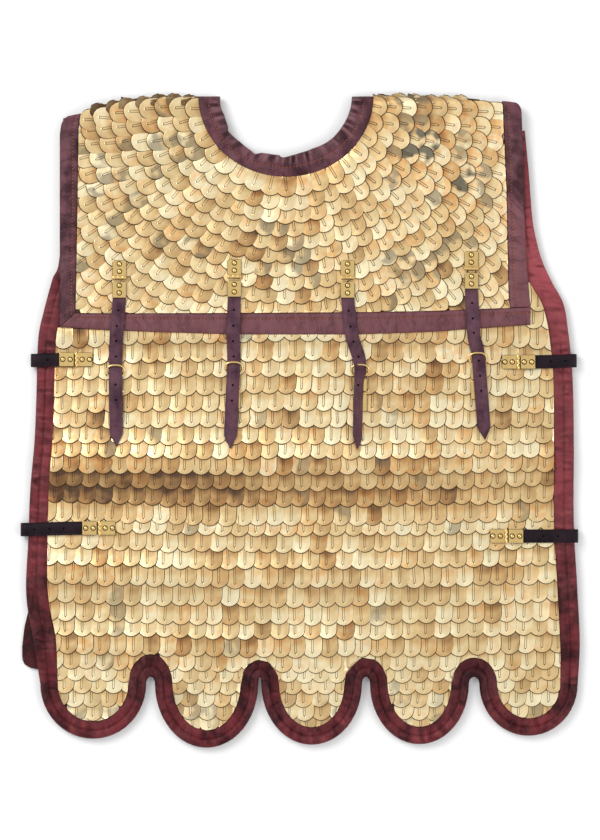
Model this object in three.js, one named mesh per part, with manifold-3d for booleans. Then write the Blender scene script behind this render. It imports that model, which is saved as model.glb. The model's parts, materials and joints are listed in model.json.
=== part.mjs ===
// Scale armour, a corselet of two panels with a square yoke, laid flat on its back.
// Millimetres, +Z up from the surface it lies on, +Y towards the neck, +X to the viewer's right.
// The layers from the floor up: yoke back, back panel, front panel, yoke front, straps.
import * as THREE from 'three';
import { mergeVertices } from 'three/addons/utils/BufferGeometryUtils.js';
import Module from 'manifold-3d';

const wasm = await Module();
wasm.setup();

// Layers
const SEAM = 0.3; // between pieces that touch
const BACK_WALL = 3.6; // flat back panel and its bindings
const BACK_YOKE_WALL = 3.4;
const FRONT_WALL = 3.2; // leather and the root of the scales
const RELIEF = 2.8; // lip of a scale above the root of the next
const RIB_ROOT = 0.9; // height of a scale's rib where it comes out of the row above
const VALLEY_DROP = 1.2; // between two scales the lip is lower than on the rib
const LIP_LEAN = 0.4; // a lip's foot lies this far outside its edge
const YOKE_STEP = BACK_YOKE_WALL + SEAM; // under the yoke the panels lie this much higher
const FRONT_BASE = BACK_WALL + SEAM;
const YOKE_BASE = YOKE_STEP + FRONT_BASE + FRONT_WALL + SEAM;
const YOKE_MIDDLE = YOKE_STEP + FRONT_BASE; // the shoulder fold's front and back meet here
const YOKE_TOP = YOKE_BASE + FRONT_WALL + RELIEF;
const RAMP = { top: 99, foot: 82 }; // the panels come down from the yoke's edge between these y

// Soft folds across the body, each a ridge over its whole width
const FOLDS = [
  { y: -52, lift: 4.0, reach: 38 },
  { y: -188, lift: 2.6, reach: 36 },
  { y: -272, lift: 1.8, reach: 28 },
];

// Side edges of the front panel's binding, from the shoulder to the hem, and the binding's width
const LEFT_EDGE = [
  { y: 360.6, x: -285.6, width: 22.8 }, { y: 202.2, x: -288.0, width: 22.8 },
  { y: 166.2, x: -297.6, width: 22.8 }, { y: 130.2, x: -307.2, width: 22.8 },
  { y: 94.2, x: -314.4, width: 22.4 }, { y: 22.2, x: -316.8, width: 22.2 },
  { y: -31.8, x: -319.2, width: 22.4 }, { y: -85.8, x: -324.0, width: 23.0 },
  { y: -145.8, x: -326.4, width: 24.0 }, { y: -211.8, x: -328.8, width: 27.5 },
  { y: -265.8, x: -320.4, width: 29.0 }, { y: -318.3, x: -312.0, width: 22.0 },
];
const RIGHT_EDGE = [
  { y: 345.4, x: 270.0, width: 22.8 }, { y: 292.7, x: 274.8, width: 23.0 },
  { y: 243.0, x: 278.6, width: 24.0 }, { y: 218.3, x: 282.7, width: 25.0 },
  { y: 191.4, x: 289.9, width: 27.0 }, { y: 164.5, x: 301.9, width: 28.0 },
  { y: 138.6, x: 315.8, width: 27.0 }, { y: 108.8, x: 321.4, width: 24.5 },
  { y: 55.8, x: 327.0, width: 24.0 }, { y: -13.8, x: 328.8, width: 25.0 },
  { y: -121.8, x: 328.8, width: 25.0 }, { y: -193.8, x: 332.4, width: 25.0 },
  { y: -265.8, x: 336.0, width: 25.0 }, { y: -318.3, x: 333.6, width: 22.0 },
];
const EDGE_STEPS = 15;

// Hem: five round lobes with narrow arches between them
const LOBES = [
  { x: -248.4, half: 63.6, bottom: -384.6 },
  { x: -112.2, half: 62.0, bottom: -395.4 },
  { x: 14.0, half: 60.4, bottom: -391.8 },
  { x: 143.4, half: 59.4, bottom: -391.2 },
  { x: 274.5, half: 59.1, bottom: -381.0 },
];
const LOBE_SIDE = -318.6; // level where the lobes begin
const LOBE_STEPS = 6;
const HEM_WIDTH = 22;
const ARCH_HEIGHT = 8.4; // outer edge, above the lobes' sides
const ARCH_CROWN = 30.6; // inner edge
const ARCH_STEPS = 4;

// The back panel is a little smaller, and its left hip corner stands out beyond the front's
const BACK_INSET = 1.5;
const HIP_FROM = -216;
const HIP_SIDE = [
  { outer: [-333.6, -236.0], inner: [-306.1, -236.0] },
  { outer: [-332.8, -293.6], inner: [-306.5, -271.2] },
];
const HIP_HEM = [
  { outer: [-331.8, -295.0], inner: [-305.4, -272.6] },
  { outer: [-306.0, -296.0], inner: [-290.0, -274.0] },
  { outer: [-289.0, -338.0], inner: [-270.0, -318.0] },
];
const HIP_LOBE_START = 2; // first step of the left lobe that the back panel's hem follows

// Binding and trim sections: across from the outer edge (0) to the scales (1), height in mm
const WELT = [[0.03, 0], [1, 0], [1, 3.6], [0.6, 4.9], [0.48, 3.9], [0.38, 6.3], [0.16, 7.0], [0, 4.4]];
const TRIM = [[0, 0], [1, 0], [1, 3.7], [0.8, 5.0], [0.72, 4.1], [0.62, 5.4], [0.2, 5.4], [0, 3.2]];
const FLAT_BAND = [[0, 0], [1, 0], [1, 1], [0, 1]];
const NECK_SECTION = [
  [0, 0], [1, 0], [0.97, 2.5], [0.8, 5.4], [0.6, 6.4], [0.48, 5.2], [0.36, 6.0], [0.06, 4.4],
];
const RAMP_DEPTH = 4; // the welt is cut to the panels' slope below the yoke

// Cutting blocks reach beyond everything: below the floor, above the straps and past the edges
const BELOW = -8;
const ABOVE = 60;
const BEYOND = 420;

// Rows of scales on the body, with the level of the tips and the place of the rib next to the middle
const ROWS = [
  { tip: 92.2, rib: -10.0 }, { tip: 69.4, rib: -4.6 }, { tip: 50.9, rib: -17.2 },
  { tip: 29.5, rib: -17.2 }, { tip: 8.8, rib: -11.0 }, { tip: -10.6, rib: -13.1 },
  { tip: -30.7, rib: -21.6 }, { tip: -48.4, rib: -18.1 }, { tip: -67.8, rib: -20.6 },
  { tip: -86.3, rib: -17.3 }, { tip: -105.6, rib: -20.6 }, { tip: -128.4, rib: -10.6 },
  { tip: -141.0, rib: -14.8 }, { tip: -160.8, rib: -19.8 }, { tip: -180.6, rib: -7.6 },
  { tip: -203.4, rib: -18.5 }, { tip: -226.2, rib: -7.6 }, { tip: -247.8, rib: -5.5 },
  { tip: -264.6, rib: -6.6 }, { tip: -286.2, rib: -4.6 }, { tip: -304.2, rib: -0.9 },
  { tip: -317.0, rib: -14.5 }, { tip: -331.0, rib: -8.5 }, { tip: -346.2, rib: -15.6 },
  { tip: -361.8, rib: -13.6 }, { tip: -376.0, rib: -12.0 },
];
const COLUMN = 9.8; // half a scale
const COLUMNS = { left: 31, right: 34 }; // half scales to each side of that rib
const BODY_HALF = 312;
const TONGUE = 6.5; // how far a scale's tip stands out beyond the valley beside it
const PLAIN_FROM = 100.4; // above this y the yoke covers a plain panel
const PLAIN_POINTS = 16;
const ROW_SAG = [ // how much lower a row's ends lie than its middle
  { y: 92, sag: 9.6 }, { y: -86, sag: -6 }, { y: -280, sag: -6 }, { y: -365, sag: 0 },
];

// Yoke
const SHOULDER = 386.4; // the fold over the shoulders
const SHOULDER_ROUND = 8.4;
const SHOULDER_WALL = 4;
const SHOULDER_SLOPE = 2;
const NECK = { x: -16.8, y: SHOULDER, outer: [105, 96.6], inner: [79, 72], steps: 16 };
const RING = { // rings of scales, wider apart across the armour than down it
  start: 88, first: 121, across: 18.2, down: 16, count: 17, scale: 21.8, tongue: 5.6, past: 0.07,
};
const YOKE_LEFT = [
  { outer: [-277, 361], inner: [-263, 367] }, { outer: [-288, 341], inner: [-265.2, 345] },
  { outer: [-288, 220], inner: [-267, 220] }, { outer: [-288, 110.5], inner: [-268.8, 126.3] },
];
const YOKE_RIGHT = [
  { outer: [276.2, 134.1], inner: [250.2, 133.1] }, { outer: [272.4, 178], inner: [249, 178] },
  { outer: [268.8, 250], inner: [247.2, 274] }, { outer: [266.4, 346], inner: [243.6, 350] },
  { outer: [264.8, 372.5], inner: [242.6, 375] }, { outer: [259.5, 378.4], inner: [242.4, 380.6] },
];
const YOKE_BOTTOM = [
  { outer: [-285.5, 106.6], inner: [-268.4, 125.7] }, { outer: [-228, 105.6], inner: [-228, 126] },
  { outer: [-84, 100.9], inner: [-84, 126.4] }, { outer: [0, 100.9], inner: [0, 127] },
  { outer: [72, 100.9], inner: [72, 127.4] }, { outer: [160, 104], inner: [160, 129] },
  { outer: [252, 111], inner: [252, 132.6] }, { outer: [276, 112.2], inner: [276, 133.5] },
];
const YOKE_SHOULDER_LEFT = [[-240, 378.6], [-226, 383], [-200, SHOULDER]];
const YOKE_SHOULDER_RIGHT = [200, SHOULDER];
const YOKE_UNDER = 4; // the relief is cut off here, inside the yoke's wall

// Hinge plates and rings of brass
const LEAF = { width: 17, long: 19.5, thick: 1.5, meet: 0.6 };
const RIVET = { radius: 2.2, crown: 1.4, height: 1.2, sides: 5, from: 4.5, step: 9 };
const KNUCKLE = { radius: 2.3, sides: 6 };
const BUCKLE = { leaf: 15.4, leafRivet: 3.5, plate: 20.5, plateRivet: 7, knuckle: 1.6 };
const WIRE = {
  half: 11.4, deep: 8.2, radius: 1.2, high: 5.0, low: 1.2, sides: 4, steps: 12, squareness: 0.7,
};
const STRAP = { width: 16, thick: 2.2, overLeaves: 3.6, point: 15, blunt: 2, under: 3 };
const FALL = { edge: 101, soft: 91, foot: 81, settled: 76 }; // levels down from the yoke's edge
const REST = { dip: 3, risen: 9, middle: 34, leaves: 60, down: 14 }; // lengths below the ring

// Straps from the yoke to the ring buckles: the hinge, the yoke's edge, the ring and the point
const FRONT_STRAPS = [
  { hinge: [-216.2, 167.4], edge: -219.9, ring: [-221.0, 64.2], tip: [-220.4, -33.0] },
  { hinge: [-78.6, 168.6], edge: -80.1, ring: [-79.4, 67.8], tip: [-84.0, -35.4] },
  { hinge: [57.0, 167.4], edge: 61.8, ring: [72.0, 64.8], tip: [70.6, -36.1] },
  { hinge: [205.2, 178.2], edge: 208.2, ring: [213.2, 79.0], tip: [222.0, -25.1] },
];

// Straps round the open sides: the hinge line, the panels' edge, the bend and the level
const SIDE_STRAPS = [
  { name: 'left_upper', side: -1, y: 70.8, hinge: -268.2, bend: -323.4 },
  { name: 'left_lower', side: -1, y: -131.4, hinge: -240.7, bend: -335.6 },
  { name: 'right_upper', side: 1, y: 67.8, hinge: 261.6, bend: 332.4 },
  { name: 'right_lower', side: 1, y: -141.0, hinge: 247.2, bend: 334.2 },
];
const SIDE = {
  base: 11.4, thick: 2.0, leaf: 18, innerRivet: 5.5, under: 62, plate: 20, plateInset: 1, recess: 2.3,
  past: 9,
};

const COLOURS = {
  scales: { color: 0xc8a772, roughness: 0.42, metalness: 0.9 },
  binding: { color: 0x6d3a3e, roughness: 0.6, metalness: 0 },
  trim: { color: 0x4b3436, roughness: 0.6, metalness: 0 },
  strap: { color: 0x30242a, roughness: 0.55, metalness: 0 },
  brass: { color: 0xe0bd6c, roughness: 0.28, metalness: 1 },
};
const materials = Object.fromEntries(
  Object.entries(COLOURS).map(([name, values]) => [name, new THREE.MeshStandardMaterial(values)]),
);
const armour = new THREE.Group();

// Solids and meshes

function solid(geometry) {
  const bare = geometry.clone();
  bare.deleteAttribute('normal');
  bare.deleteAttribute('uv');
  const merged = mergeVertices(bare, 1e-4);
  return new wasm.Manifold(new wasm.Mesh({
    numProp: 3,
    vertProperties: new Float32Array(merged.attributes.position.array),
    triVerts: new Uint32Array(merged.index.array),
  }));
}

function geometryOf(body) {
  const { vertProperties, triVerts } = body.getMesh();
  return indexed(vertProperties, triVerts);
}

function indexed(positions, triangles) {
  const geometry = new THREE.BufferGeometry();
  geometry.setAttribute('position', new THREE.BufferAttribute(new Float32Array(positions), 3));
  geometry.setIndex(new THREE.BufferAttribute(new Uint32Array(triangles), 1));
  return geometry;
}

function add(name, geometry, material) {
  const mesh = new THREE.Mesh(geometry, materials[material]);
  mesh.name = name;
  armour.add(mesh);
  return mesh;
}

function shapeOf(points) {
  return new THREE.Shape(points.map(([x, y]) => new THREE.Vector2(x, y)));
}

// An upright prism over an outline seen from above
function prism(points, bottom, top) {
  const geometry = new THREE.ExtrudeGeometry(shapeOf(points), { depth: top - bottom, bevelEnabled: false });
  return solid(geometry.translate(0, 0, bottom));
}

// A prism along X over a profile of [y, z] points
function profile(points, from = -BEYOND, to = BEYOND) {
  const geometry = new THREE.ExtrudeGeometry(shapeOf(points), { depth: to - from, bevelEnabled: false });
  const turn = new THREE.Matrix4().makeBasis(
    new THREE.Vector3(0, 1, 0), new THREE.Vector3(0, 0, 1), new THREE.Vector3(1, 0, 0),
  );
  return solid(geometry.applyMatrix4(turn).translate(from, 0, 0));
}

function box(x0, x1, y0, y1, z0, z1) {
  const geometry = new THREE.BoxGeometry(x1 - x0, y1 - y0, z1 - z0);
  return geometry.translate((x0 + x1) / 2, (y0 + y1) / 2, (z0 + z1) / 2);
}

// A strip through stations of { outer, inner }, over the section's points
function band(stations, section, bottomAt, heightScale = 1) {
  const positions = [];
  for (const { outer, inner } of stations) {
    for (const [across, height] of section) {
      const x = THREE.MathUtils.lerp(outer[0], inner[0], across);
      const y = THREE.MathUtils.lerp(outer[1], inner[1], across);
      positions.push(x, y, bottomAt(x, y) + height * heightScale);
    }
  }
  const count = section.length;
  const triangles = [];
  for (let s = 0; s < stations.length - 1; s += 1) {
    for (let k = 0; k < count; k += 1) {
      const a = s * count + k;
      const b = s * count + ((k + 1) % count);
      triangles.push(a, b, b + count, a, b + count, a + count);
    }
  }
  const caps = THREE.ShapeUtils.triangulateShape(section.map(([u, v]) => new THREE.Vector2(u, v)), []);
  const last = (stations.length - 1) * count;
  for (const [a, b, c] of caps) {
    triangles.push(a, c, b, last + a, last + b, last + c);
  }
  return facingOut(positions, triangles);
}

function facingOut(positions, triangles) {
  const corner = (i) => new THREE.Vector3(positions[3 * i], positions[3 * i + 1], positions[3 * i + 2]);
  let volume = 0;
  for (let i = 0; i < triangles.length; i += 3) {
    const [a, b, c] = [0, 1, 2].map((k) => corner(triangles[i + k]));
    volume += a.dot(b.cross(c));
  }
  const turned = volume < 0 ? [...triangles].reverse() : triangles;
  return indexed(positions, turned);
}

function rounded(table, steps) {
  const spline = new THREE.SplineCurve(table.map(({ x, y }) => new THREE.Vector2(x, y)));
  return spline.getPoints(steps);
}

function between(table, y, column) {
  const rows = [...table].sort((a, b) => a.y - b.y);
  if (y <= rows[0].y) return rows[0][column];
  for (let i = 1; i < rows.length; i += 1) {
    if (y <= rows[i].y) {
      const part = (y - rows[i - 1].y) / (rows[i].y - rows[i - 1].y);
      return THREE.MathUtils.lerp(rows[i - 1][column], rows[i][column], part);
    }
  }
  return rows.at(-1)[column];
}

// The line beside a band's inner edge, one seam away
function beside(stations) {
  return stations.map(({ outer, inner }) => {
    const across = new THREE.Vector2(inner[0] - outer[0], inner[1] - outer[1]).setLength(SEAM);
    return [inner[0] + across.x, inner[1] + across.y];
  });
}

// Heights

function foldLift(y) {
  let lift = 0;
  for (const fold of FOLDS) {
    const away = Math.abs(y - fold.y) / fold.reach;
    if (away < 1) lift += fold.lift * Math.cos((away * Math.PI) / 2) ** 2;
  }
  return lift;
}

function ramp(y) {
  return YOKE_STEP * THREE.MathUtils.clamp((y - RAMP.foot) / (RAMP.top - RAMP.foot), 0, 1);
}

const backUnder = (y) => ramp(y);
const frontUnder = (y) => FRONT_BASE + ramp(y) + foldLift(y) / 2;
const frontTop = (y) => FRONT_BASE + FRONT_WALL + ramp(y) + foldLift(y);
const clearOfScales = (y) => frontTop(y) + RELIEF + 2 * SEAM;

// Levels along Y where a wall's profile bends
function profileLevels() {
  const levels = [-BEYOND, BEYOND, RAMP.top, RAMP.foot];
  for (const { y, reach } of FOLDS) {
    for (let k = -4; k <= 4; k += 1) levels.push(y + (reach * k) / 4);
  }
  return [...new Set(levels)].sort((a, b) => a - b);
}

function wallProfile(under, over) {
  const levels = profileLevels();
  const lower = levels.map((y) => [y, under(y)]);
  const upper = levels.map((y) => [y, over(y)]).reverse();
  return profile([...lower, ...upper]);
}

// Edges of the panels

function sideStations(table, side, inset = 0) {
  const points = rounded(table, EDGE_STEPS);
  const bends = [RAMP.top, RAMP.foot, ...FOLDS.flatMap(({ y, reach }) => [y + reach, y, y - reach])];
  const inside = bends.filter((y) => y < points[0].y && y > points.at(-1).y);
  const all = [...points, ...inside.map((y) => ({ x: between(points, y, 'x'), y }))];
  all.sort((a, b) => b.y - a.y);
  return all.map(({ x, y }) => {
    const outer = x - side * inset;
    return { outer: [outer, y], inner: [x - side * between(table, y, 'width'), y] };
  });
}

function hemStations(inset = 0) {
  const stations = [];
  LOBES.forEach((lobe, index) => {
    for (let k = 0; k <= LOBE_STEPS; k += 1) {
      const turn = (Math.PI * k) / LOBE_STEPS;
      const onLobe = (shrink) => [
        lobe.x - (lobe.half - shrink) * Math.cos(turn),
        LOBE_SIDE + (lobe.bottom + shrink - LOBE_SIDE) * Math.sin(turn),
      ];
      stations.push({ outer: onLobe(inset), inner: onLobe(HEM_WIDTH) });
    }
    const next = LOBES[index + 1];
    if (next === undefined) return;
    const left = lobe.x + lobe.half;
    const right = next.x - next.half;
    const middle = (left + right) / 2;
    for (let k = 1; k < ARCH_STEPS; k += 1) {
      const turn = (Math.PI * k) / ARCH_STEPS;
      const onArch = (half, height) => [
        middle - half * Math.cos(turn), LOBE_SIDE + height * Math.sin(turn),
      ];
      stations.push({
        outer: onArch((right - left) / 2 + inset, ARCH_HEIGHT + inset),
        inner: onArch((right - left) / 2 + HEM_WIDTH, ARCH_CROWN),
      });
    }
  });
  return stations;
}

function neckArc(radii, grow = 0) {
  const points = [];
  for (let k = 0; k <= NECK.steps; k += 1) {
    const turn = Math.PI * (1 + k / NECK.steps);
    points.push([
      NECK.x + (radii[0] + grow) * Math.cos(turn), NECK.y + (radii[1] + grow) * Math.sin(turn),
    ]);
  }
  return points;
}

function panelOutline(left, hem, right) {
  const top = left[0].outer[1];
  const grow = 2 * SEAM;
  const neck = neckArc(NECK.outer, grow).filter(([, y]) => y < top).reverse();
  const reach = (NECK.outer[0] + grow) * Math.sqrt(1 - ((top - NECK.y) / (NECK.outer[1] + grow)) ** 2);
  return [
    ...beside(left), ...beside(hem), ...beside(right).reverse(),
    [NECK.x + reach, top], ...neck, [NECK.x - reach, top],
  ];
}

// Scales

// Triangles between two rows of points, whose counts may differ
function zip(upper, lower, triangles) {
  let i = 0;
  let j = 0;
  while (i < upper.length - 1 || j < lower.length - 1) {
    const nextUpper = i < upper.length - 1 ? upper[i + 1].along : Infinity;
    const nextLower = j < lower.length - 1 ? lower[j + 1].along : Infinity;
    if (nextUpper <= nextLower) {
      triangles.push(upper[i].index, lower[j].index, upper[i + 1].index);
      i += 1;
    } else {
      triangles.push(upper[i].index, lower[j].index, lower[j + 1].index);
      j += 1;
    }
  }
}

// A block under rows of points, closed at a flat floor
function reliefBlock(rows, floor) {
  const positions = [];
  const triangles = [];
  const lines = rows.map((row) => row.map(({ along, x, y, z }) => {
    positions.push(x, y, z);
    return { along, index: positions.length / 3 - 1 };
  }));
  for (let r = 1; r < lines.length; r += 1) zip(lines[r - 1], lines[r], triangles);
  const count = positions.length / 3;
  for (let i = 0; i < count; i += 1) positions.push(positions[3 * i], positions[3 * i + 1], floor);
  const covers = [...triangles];
  for (let i = 0; i < covers.length; i += 3) {
    triangles.push(covers[i] + count, covers[i + 2] + count, covers[i + 1] + count);
  }
  const rim = [
    ...lines[0].map((p) => p.index).reverse(),
    ...lines.slice(1, -1).map((line) => line[0].index),
    ...lines.at(-1).map((p) => p.index),
    ...lines.slice(1, -1).map((line) => line.at(-1).index).reverse(),
  ];
  rim.forEach((a, k) => {
    const b = rim[(k + 1) % rim.length];
    triangles.push(b, a, a + count, b, a + count, b + count);
  });
  return solid(facingOut(positions, triangles));
}

function bodyRows() {
  const across = (y) => {
    const places = Array.from({ length: PLAIN_POINTS + 1 }, (none, k) => 2 * k / PLAIN_POINTS - 1);
    return places.map((share) => ({ along: share * BODY_HALF, x: share * BODY_HALF, y, z: frontTop(y) }));
  };
  const rows = [across(BEYOND), across(PLAIN_FROM)];
  for (const { tip, rib } of ROWS) {
    const sag = between(ROW_SAG, tip, 'sag');
    const lip = [];
    const foot = [];
    for (let c = -COLUMNS.left; c <= COLUMNS.right; c += 1) {
      const x = rib + c * COLUMN;
      const onRib = c % 2 === 0;
      const y = tip - sag * (x / BODY_HALF) ** 2 + (onRib ? 0 : TONGUE);
      lip.push({ along: x, x, y, z: frontTop(y) + RELIEF - (onRib ? 0 : VALLEY_DROP) });
      foot.push({ along: x, x, y: y - LIP_LEAN, z: frontTop(y) + (onRib ? 0 : RIB_ROOT) });
    }
    rows.push(lip, foot);
  }
  rows.push(across(-BEYOND));
  return rows;
}

function yokeRows() {
  const top = YOKE_BASE + FRONT_WALL;
  const arc = (first, ring, count, tongue, heights) => {
    const points = [];
    for (let c = 0; c <= count; c += 1) {
      const along = c / count;
      const turn = Math.PI - RING.past + along * (Math.PI + 2 * RING.past);
      const onRib = c % 2 === 0;
      const pitch = RING.across * Math.cos(turn) ** 2 + RING.down * Math.sin(turn) ** 2;
      const reach = first + ring * pitch - (onRib ? 0 : tongue);
      points.push({
        along,
        x: NECK.x + reach * Math.cos(turn),
        y: NECK.y + reach * Math.sin(turn),
        z: top + heights[onRib ? 0 : 1],
      });
    }
    return points;
  };
  const plain = [0, 0];
  const rows = [arc(RING.start, 0, NECK.steps, 0, plain)];
  for (let k = 0; k < RING.count; k += 1) {
    const radius = RING.first + (k * (RING.across + RING.down)) / 2;
    const count = 2 * Math.round((radius * (Math.PI + 2 * RING.past)) / RING.scale);
    rows.push(arc(RING.first, k, count, RING.tongue, [RELIEF, RELIEF - VALLEY_DROP]));
    rows.push(arc(RING.first + LIP_LEAN, k, count, RING.tongue, [0, RIB_ROOT / 2]));
  }
  rows.push(arc(RING.first, RING.count, 2 * NECK.steps, 0, plain));
  return rows;
}

// Panels and their bindings

const frontLeft = sideStations(LEFT_EDGE, -1);
const frontRight = sideStations(RIGHT_EDGE, 1);
const frontHem = hemStations();
const frontOutline = panelOutline(frontLeft, frontHem, frontRight);

const backLeft = [
  ...sideStations(LEFT_EDGE.filter(({ y }) => y > HIP_FROM), -1, BACK_INSET).slice(0, -1),
  ...HIP_SIDE,
];
const backRight = sideStations(RIGHT_EDGE, 1, BACK_INSET);
const backHem = [...HIP_HEM, ...hemStations(BACK_INSET).slice(HIP_LOBE_START)];

function strapRecess(part) {
  let cut = part;
  for (const { side, y, bend } of SIDE_STRAPS) {
    const half = STRAP.width / 2 + SEAM;
    const inner = bend - side * (SIDE.under + SIDE.plate + 3 * SEAM);
    const outer = bend + side * SIDE.past;
    const [x0, x1] = [Math.min(inner, outer), Math.max(inner, outer)];
    cut = cut.subtract(solid(box(x0, x1, y - half, y + half, BELOW, SIDE.recess)));
  }
  return cut;
}

function addPanels() {
  const front = reliefBlock(bodyRows(), BELOW)
    .intersect(prism(frontOutline, BELOW, ABOVE))
    .intersect(wallProfile(frontUnder, () => ABOVE));
  add('front_panel', geometryOf(front), 'scales');
  const back = prism(panelOutline(backLeft, backHem, backRight), BELOW, ABOVE)
    .intersect(wallProfile(backUnder, (y) => backUnder(y) + BACK_WALL));
  add('back_panel', geometryOf(strapRecess(back)), 'scales');
}

// The welt's height follows the panel, and under the yoke it is pressed flat
function addBindings() {
  const deep = WELT.map(([across, height]) => [across, height === 0 ? -RAMP_DEPTH : height]);
  const pressed = wallProfile(frontUnder, (y) => (y >= RAMP.top ? frontTop(y) : ABOVE));
  for (const [side, stations] of [['left', frontLeft], ['right', frontRight]]) {
    const welt = solid(band(stations, deep, (x, y) => frontUnder(y)));
    add(`front_binding_${side}`, geometryOf(welt.intersect(pressed)), 'binding');
  }
  add('front_binding_hem', band(frontHem, WELT, (x, y) => frontUnder(y)), 'binding');
  const flat = wallProfile(backUnder, (y) => backUnder(y) + BACK_WALL);
  for (const [side, stations] of [['left', backLeft], ['right', backRight], ['hem', backHem]]) {
    const strip = solid(band(stations, FLAT_BAND, () => BELOW, ABOVE)).intersect(flat);
    add(`back_binding_${side}`, geometryOf(strapRecess(strip)), 'binding');
  }
}

// Yoke

const shoulderRound = (from) => {
  const points = [];
  for (let k = 0; k <= 3; k += 1) {
    const turn = (Math.PI * k) / 6;
    const y = SHOULDER - SHOULDER_ROUND * (1 - Math.sin(turn));
    points.push([y, from + (YOKE_MIDDLE - from) * (1 - Math.cos(turn))]);
  }
  return points;
};

// The front of the yoke turns down over the shoulders, to where the back's wall comes up
function yokeFrontProfile(under) {
  const turn = shoulderRound(YOKE_TOP + 1).reverse();
  const wall = SHOULDER - SHOULDER_WALL;
  return profile([
    [0, under], [wall - SHOULDER_SLOPE, under], [wall, YOKE_MIDDLE], [SHOULDER, YOKE_MIDDLE],
    ...turn.slice(1), [SHOULDER - SHOULDER_ROUND, ABOVE], [0, ABOVE],
  ]);
}

function yokeBackProfile(over) {
  const turn = shoulderRound(0);
  const wall = SHOULDER - SHOULDER_WALL;
  const top = YOKE_MIDDLE - SEAM;
  const rise = turn.slice(0, -1);
  return profile([
    [0, 0], ...rise, [SHOULDER, top], [wall, top], [wall - SHOULDER_SLOPE, over], [0, over],
  ]);
}

function yokeOutline() {
  const right = beside(YOKE_RIGHT);
  const left = beside(YOKE_LEFT);
  const neck = neckArc(NECK.outer, SEAM);
  return [
    ...left, ...beside(YOKE_BOTTOM).slice(1, -1), ...right,
    YOKE_SHOULDER_RIGHT, ...neck.reverse(), ...[...YOKE_SHOULDER_LEFT].reverse(),
  ];
}

function addYoke() {
  const outline = yokeOutline();
  const front = reliefBlock(yokeRows(), YOKE_UNDER)
    .intersect(prism(outline, BELOW, ABOVE))
    .intersect(yokeFrontProfile(YOKE_BASE));
  add('yoke_front', geometryOf(front), 'scales');
  const back = prism(outline, BELOW, ABOVE).intersect(yokeBackProfile(BACK_YOKE_WALL));
  add('yoke_back', geometryOf(back), 'scales');

  const trims = { left: YOKE_LEFT, right: YOKE_RIGHT, bottom: YOKE_BOTTOM };
  const deep = TRIM.map(([across, height]) => [across, height === 0 ? YOKE_MIDDLE - YOKE_BASE : height]);
  for (const [name, stations] of Object.entries(trims)) {
    const bar = solid(band(stations, deep, () => YOKE_BASE)).intersect(yokeFrontProfile(YOKE_BASE));
    add(`yoke_trim_front_${name}`, geometryOf(bar), 'trim');
    const strip = solid(band(stations, FLAT_BAND, () => BELOW, ABOVE));
    add(`yoke_trim_back_${name}`, geometryOf(strip.intersect(yokeBackProfile(BACK_YOKE_WALL))), 'trim');
  }
  const outer = neckArc(NECK.outer);
  const neck = neckArc(NECK.inner).map((inner, k) => ({ outer: outer[k], inner }));
  const rise = YOKE_BASE - YOKE_MIDDLE;
  const section = NECK_SECTION.map(([across, height]) => [across, height === 0 ? 0 : height + rise]);
  const roll = solid(band(neck, section, () => YOKE_MIDDLE)).intersect(yokeFrontProfile(YOKE_MIDDLE));
  add('neck_trim_front', geometryOf(roll), 'trim');
  const under = solid(band(neck, FLAT_BAND, () => BELOW, ABOVE));
  add('neck_trim_back', geometryOf(under.intersect(yokeBackProfile(YOKE_MIDDLE - SEAM))), 'trim');
}

// Straps, hinges and rings

// A plate with its rivets, its middle at the origin, lying on z = 0, long along Y
function leaf(long, rivetStart, knuckleEnd = 0) {
  const half = LEAF.width / 2;
  const outline = [[-half, -long / 2], [half, -long / 2], [half, long / 2], [-half, long / 2]];
  let plate = prism(outline, 0, LEAF.thick);
  for (let k = 0; k < 2; k += 1) {
    const dome = new THREE.CylinderGeometry(RIVET.crown, RIVET.radius, 2 * RIVET.height, RIVET.sides);
    dome.rotateX(Math.PI / 2).translate(0, rivetStart - k * RIVET.step, LEAF.thick);
    plate = plate.add(solid(dome));
  }
  if (knuckleEnd !== 0) {
    const { radius, sides } = KNUCKLE;
    const size = Math.abs(knuckleEnd);
    const barrel = new THREE.CylinderGeometry(size, size, LEAF.width - 1, sides);
    barrel.rotateZ(Math.PI / 2).rotateX(Math.PI / sides);
    barrel.translate(0, Math.sign(knuckleEnd) * (long / 2 + size * LEAF.meet), size);
    plate = plate.add(solid(barrel));
  }
  return plate;
}

function addPlate(name, part, x, y, z, turn = 0) {
  const mesh = add(name, geometryOf(part), 'brass');
  mesh.position.set(x, y, z);
  mesh.rotation.z = turn;
  return mesh;
}

// Underside of a front strap: over the yoke's edge, through the ring, over the buckle and down
function strapUnder(y, ringY) {
  const rest = YOKE_TOP + SEAM;
  if (y > FALL.edge) return rest;
  if (y > ringY) {
    const low = Math.max(ringY, FALL.settled);
    const slope = THREE.MathUtils.mapLinear(y, FALL.edge, low, rest, clearOfScales(ringY));
    return Math.max(clearOfScales(y), slope);
  }
  if (y > ringY - REST.dip) return clearOfScales(ringY);
  if (y > ringY - REST.leaves) {
    const up = THREE.MathUtils.clamp((ringY - REST.dip - y) / (REST.risen - REST.dip), 0, 1);
    return buckleBase(ringY) + STRAP.overLeaves * up;
  }
  const down = THREE.MathUtils.clamp((ringY - REST.leaves - y) / REST.down, 0, 1);
  return clearOfScales(y) + STRAP.overLeaves * (1 - down);
}

const buckleBase = (ringY) => clearOfScales(ringY - LEAF.long);

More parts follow.
